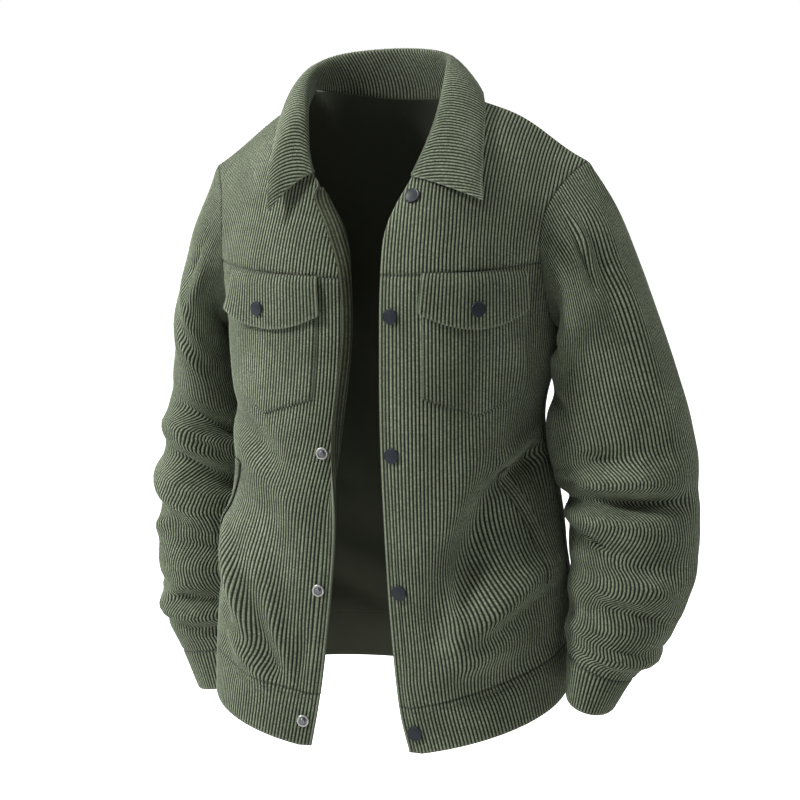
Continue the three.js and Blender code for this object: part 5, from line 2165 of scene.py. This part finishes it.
@dataclass
class Snaps:
    """The snap fasteners: enamelled caps on one front and the flaps, nickel studs on the other."""

    form: Form
    pockets: Pockets
    segments: int = 40
    caps: tuple[tuple[float, float, float], ...] = (
        (6.62, 13, 1.25),
        (4.4, 13, 1.55),
        (2.84, 13, 1.6),
        (1.33, 13, 1.6),
        (-0.49, 13, 2.1),
    )
    studs: tuple[tuple[float, float, float], ...] = (
        (2.84, 28, 0.9),
        (1.33, 14, 1.6),
        (-0.49, 14, 1.6),
    )
    first_stud: int = 3
    socket_radius: float = 4.45
    flap_share: dict[Side, float] = field(default_factory=lambda: {Side.LEFT: 0.49, Side.RIGHT: 0.6})
    flap_snap_lift: dict[Side, float] = field(default_factory=lambda: {Side.LEFT: 3.5, Side.RIGHT: 3.9})
    cap_profile: tuple[tuple[float, float], ...] = (
        (0, 0), (7.1, 0), (7.8, 0.25), (8.0, 0.8), (7.95, 1.4),
        (7.6, 1.95), (7.1, 2.15), (6.7, 2.1), (6.4, 2.0), (6.1, 2.02),
        (5.0, 2.18), (3.0, 2.36), (1.2, 2.44), (0, 2.45),
    )
    stud_profile: tuple[tuple[float, float], ...] = (
        (0, 0), (6.2, 0), (6.5, 0.2), (6.5, 0.75), (6.2, 1.2),
        (5.6, 1.42), (4.9, 1.35), (4.4, 1.05), (4.0, 0.8), (3.1, 0.8),
        (2.75, 1.0), (2.6, 1.8), (2.75, 2.6), (2.5, 3.1), (1.9, 3.3),
        (1.0, 3.1), (0, 3.05),
    )

    def turned(
        self, name: str, profile: tuple[tuple[float, float], ...], point: Array, normal: Array
    ) -> bpy.types.Object:
        """Turns one fastener and stands it on the cloth.

        Args:
            name: The piece's name.
            profile: Radius and height pairs from the cloth up.
            point: Where it stands.
            normal: The way out of the cloth there.

        Returns:
            The finished piece.
        """
        bm = bmesh.new()
        verts = [bm.verts.new((radius * MM, 0, height * MM)) for radius, height in profile]
        edges = [bm.edges.new(pair) for pair in zip(verts, verts[1:])]
        bmesh.ops.spin(
            bm,
            geom=verts + edges,
            cent=(0, 0, 0),
            axis=(0, 0, 1),
            dvec=(0, 0, 0),
            angle=2 * math.pi,
            steps=self.segments,
            use_merge=True,
            use_duplicate=False,
        )
        bmesh.ops.remove_doubles(bm, verts=bm.verts[:], dist=1e-6)
        bmesh.ops.recalc_face_normals(bm, faces=bm.faces[:])
        for face in bm.faces:
            face.smooth = True
            far = max(v.co.xy.length for v in face.verts) / MM
            face.material_index = 1 if far < self.socket_radius else 0
        turn = Vector((0, 0, 1)).rotation_difference(Vector(normal)).to_matrix().to_4x4()
        bmesh.ops.transform(bm, matrix=Matrix.Translation(Vector(point * MM)) @ turn, verts=bm.verts[:])
        mesh = bpy.data.meshes.new(name)
        bm.to_mesh(mesh)
        bm.free()
        return Shop.put(name, mesh)

    def edge_place(self, side: Side, level: float, across: float, off: float) -> tuple[Array, Array]:
        """Finds a fastener's place beside a front edge.

        Args:
            side: Which front.
            level: How high it sits.
            across: How far in from the edge, along the cloth.
            off: How far it stands off the middle of the wall.

        Returns:
            The place, and the way out of the cloth there.
        """
        s = np.linspace(-1, 1, SAMPLES_ACROSS // 2 + 1)
        line = self.form.front(side, s, np.full(s.shape, level))
        gone = np.concatenate([[0], np.cumsum(np.linalg.norm(np.diff(line, axis=0), axis=-1))])
        share = np.array([np.interp(across, gone, s)])
        surface: Surface = lambda a, b: self.form.front(side, a, b)
        normal = normal_of(surface, share, np.array([level]), side.value)[0]
        return surface(share, np.array([level]))[0] + normal * off, normal

    def flap_place(self, side: Side) -> tuple[Array, Array]:
        """Finds the place of a flap's cap.

        Args:
            side: Which flap.

        Returns:
            The place, and the way out of the cloth there.
        """
        pockets = self.pockets
        chest = Chest(self.form, side)
        across = np.array([pockets.flap_from + pockets.flap_width * self.flap_share[side]])
        z = np.array([pockets.yoke_height(side, 0.6) - pockets.flap_point * 0.66])
        s, level = chest.find(across, z)
        surface: Surface = lambda a, b: self.form.front(side, a, b)
        normal = normal_of(surface, s, level, side.value)[0]
        return surface(s, level)[0] + normal * (pockets.out + 1.6 + self.flap_snap_lift[side]), normal

    def dress(
        self, piece: bpy.types.Object, node: str, finishes: list[bpy.types.Material]
    ) -> None:
        """Gives a fastener its finish and hides the solid of its node."""
        for finish in finishes:
            piece.data.materials.append(finish)
        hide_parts(node)

    def build(self, finishes: Finishes) -> None:
        """Makes every fastener."""
        for k, row in enumerate(self.caps):
            piece = self.turned(f"cap_{k + 1}", self.cap_profile, *self.edge_place(Side.LEFT, *row))
            self.dress(piece, f"snap_cap_{k + 1}", [finishes.cap, finishes.cap])
        for k, row in enumerate(self.studs):
            number = k + self.first_stud
            piece = self.turned(f"stud_{number}", self.stud_profile, *self.edge_place(Side.RIGHT, *row))
            self.dress(piece, f"snap_stud_{number}", [finishes.stud, finishes.socket])
        for side in Side:
            piece = self.turned(f"flap_cap_{side.label}", self.cap_profile, *self.flap_place(side))
            self.dress(piece, f"flap_snap_{side.label}", [finishes.cap, finishes.cap])
        log.info("snaps: %d caps, %d studs", len(self.caps) + 2, len(self.studs))


@dataclass
class Studio:
    """The floor, the lights and the camera."""

    azimuth: float = 17.0
    elevation: float = 10.0
    distance: float = 2.4
    lens: float = 100.0
    target: tuple[float, float, float] = (0.003, 0.0, -0.330)
    floor_z: float = -0.86
    floor_glow: float = 0.97
    ambient: float = 0.22
    sensor: float = 36.0
    lights: tuple[tuple[str, tuple[float, float, float], float, float], ...] = (
        ("key", (-1.75, -1.35, 1.5), 0.45, 100),
        ("side", (-2.3, 0.3, 0.7), 0.8, 52),
        ("rim", (2.0, 0.35, 1.1), 0.8, 24),
        ("top", (-0.2, -0.6, 2.2), 1.0, 18),
    )

    def floor(self) -> None:
        """Lays a large pale floor."""
        bm = bmesh.new()
        bmesh.ops.create_grid(bm, x_segments=2, y_segments=2, size=30)
        bmesh.ops.translate(bm, verts=bm.verts[:], vec=(0, 0, self.floor_z))
        mesh = bpy.data.meshes.new("floor")
        bm.to_mesh(mesh)
        bm.free()
        floor = bpy.data.objects.new("floor", mesh)
        bpy.context.scene.collection.objects.link(floor)
        material, n, shader = Nodes.material("floor_paint")
        tone = n.noise(n.add("TexCoord").outputs["Object"], 3.0)
        n.feed(shader.inputs["Base Color"], n.mix(tone, rgba(0.9, 0.9, 0.9), rgba(0.88, 0.88, 0.88)))
        shader.inputs["Roughness"].default_value = 0.9
        seen = n.add("LightPath").outputs["Is Camera Ray"]
        shader.inputs["Emission Color"].default_value = rgba(1, 1, 1)
        n.feed(shader.inputs["Emission Strength"], n.math("MULTIPLY", seen, self.floor_glow))
        mesh.materials.append(material)

    def light(self, name: str, at: tuple[float, float, float], size: float, power: float) -> None:
        """Adds one soft light that looks at the jacket.

        Args:
            name: The light's name.
            at: Where it hangs.
            size: Its side.
            power: Its watts.
        """
        data = bpy.data.lights.new(name, "AREA")
        data.shape, data.size, data.energy = "SQUARE", size, power
        lamp = bpy.data.objects.new(name, data)
        lamp.location = at
        aim = Vector(self.target) - Vector(at)
        lamp.rotation_euler = aim.to_track_quat("-Z", "Y").to_euler()
        bpy.context.scene.collection.objects.link(lamp)

    def build(self) -> None:
        """Sets up the floor, lights, world and camera."""
        self.floor()
        for lamp in self.lights:
            self.light(*lamp)
        world = bpy.data.worlds.new("studio")
        world.use_nodes = True
        n = Nodes(world.node_tree)
        background = world.node_tree.nodes["Background"]
        background.inputs[0].default_value = rgba(1, 1, 1)
        seen = n.add("LightPath").outputs["Is Camera Ray"]
        n.feed(background.inputs[1], n.math("MAXIMUM", seen, self.ambient))
        bpy.context.scene.world = world
        bpy.context.scene.view_settings.view_transform = "Standard"
        a, e = math.radians(self.azimuth), math.radians(self.elevation)
        back = Vector((math.sin(a) * math.cos(e), -math.cos(a) * math.cos(e), math.sin(e)))
        data = bpy.data.cameras.new("camera")
        data.lens, data.sensor_width = self.lens, self.sensor
        camera = bpy.data.objects.new("camera", data)
        camera.location = Vector(self.target) + back * self.distance
        camera.rotation_euler = (-back).to_track_quat("-Z", "Y").to_euler()
        bpy.context.scene.collection.objects.link(camera)
        bpy.context.scene.camera = camera
        log.info("studio: floor, %d lights, camera", len(self.lights))


def main() -> None:
    """Builds the jacket, piece by piece, and its studio."""
    logging.basicConfig(level=logging.INFO, format="%(name)s %(message)s")
    Studio().build()
    form = Form(FINE_FRONT, FINE_BACK, FINE_SLEEVE)
    finishes = Finishes().mix_up()
    tailor = Tailor(finishes)
    pockets = Pockets(form)
    for assembly in (Body(form), Sleeves(form), Collar(form), pockets, Facings(form)):
        assembly.build(tailor)
    Snaps(form, pockets).build(finishes)
    log.info("cloth: %d triangles", tailor.triangles)
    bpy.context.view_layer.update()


if __name__ == "__main__":
    main()
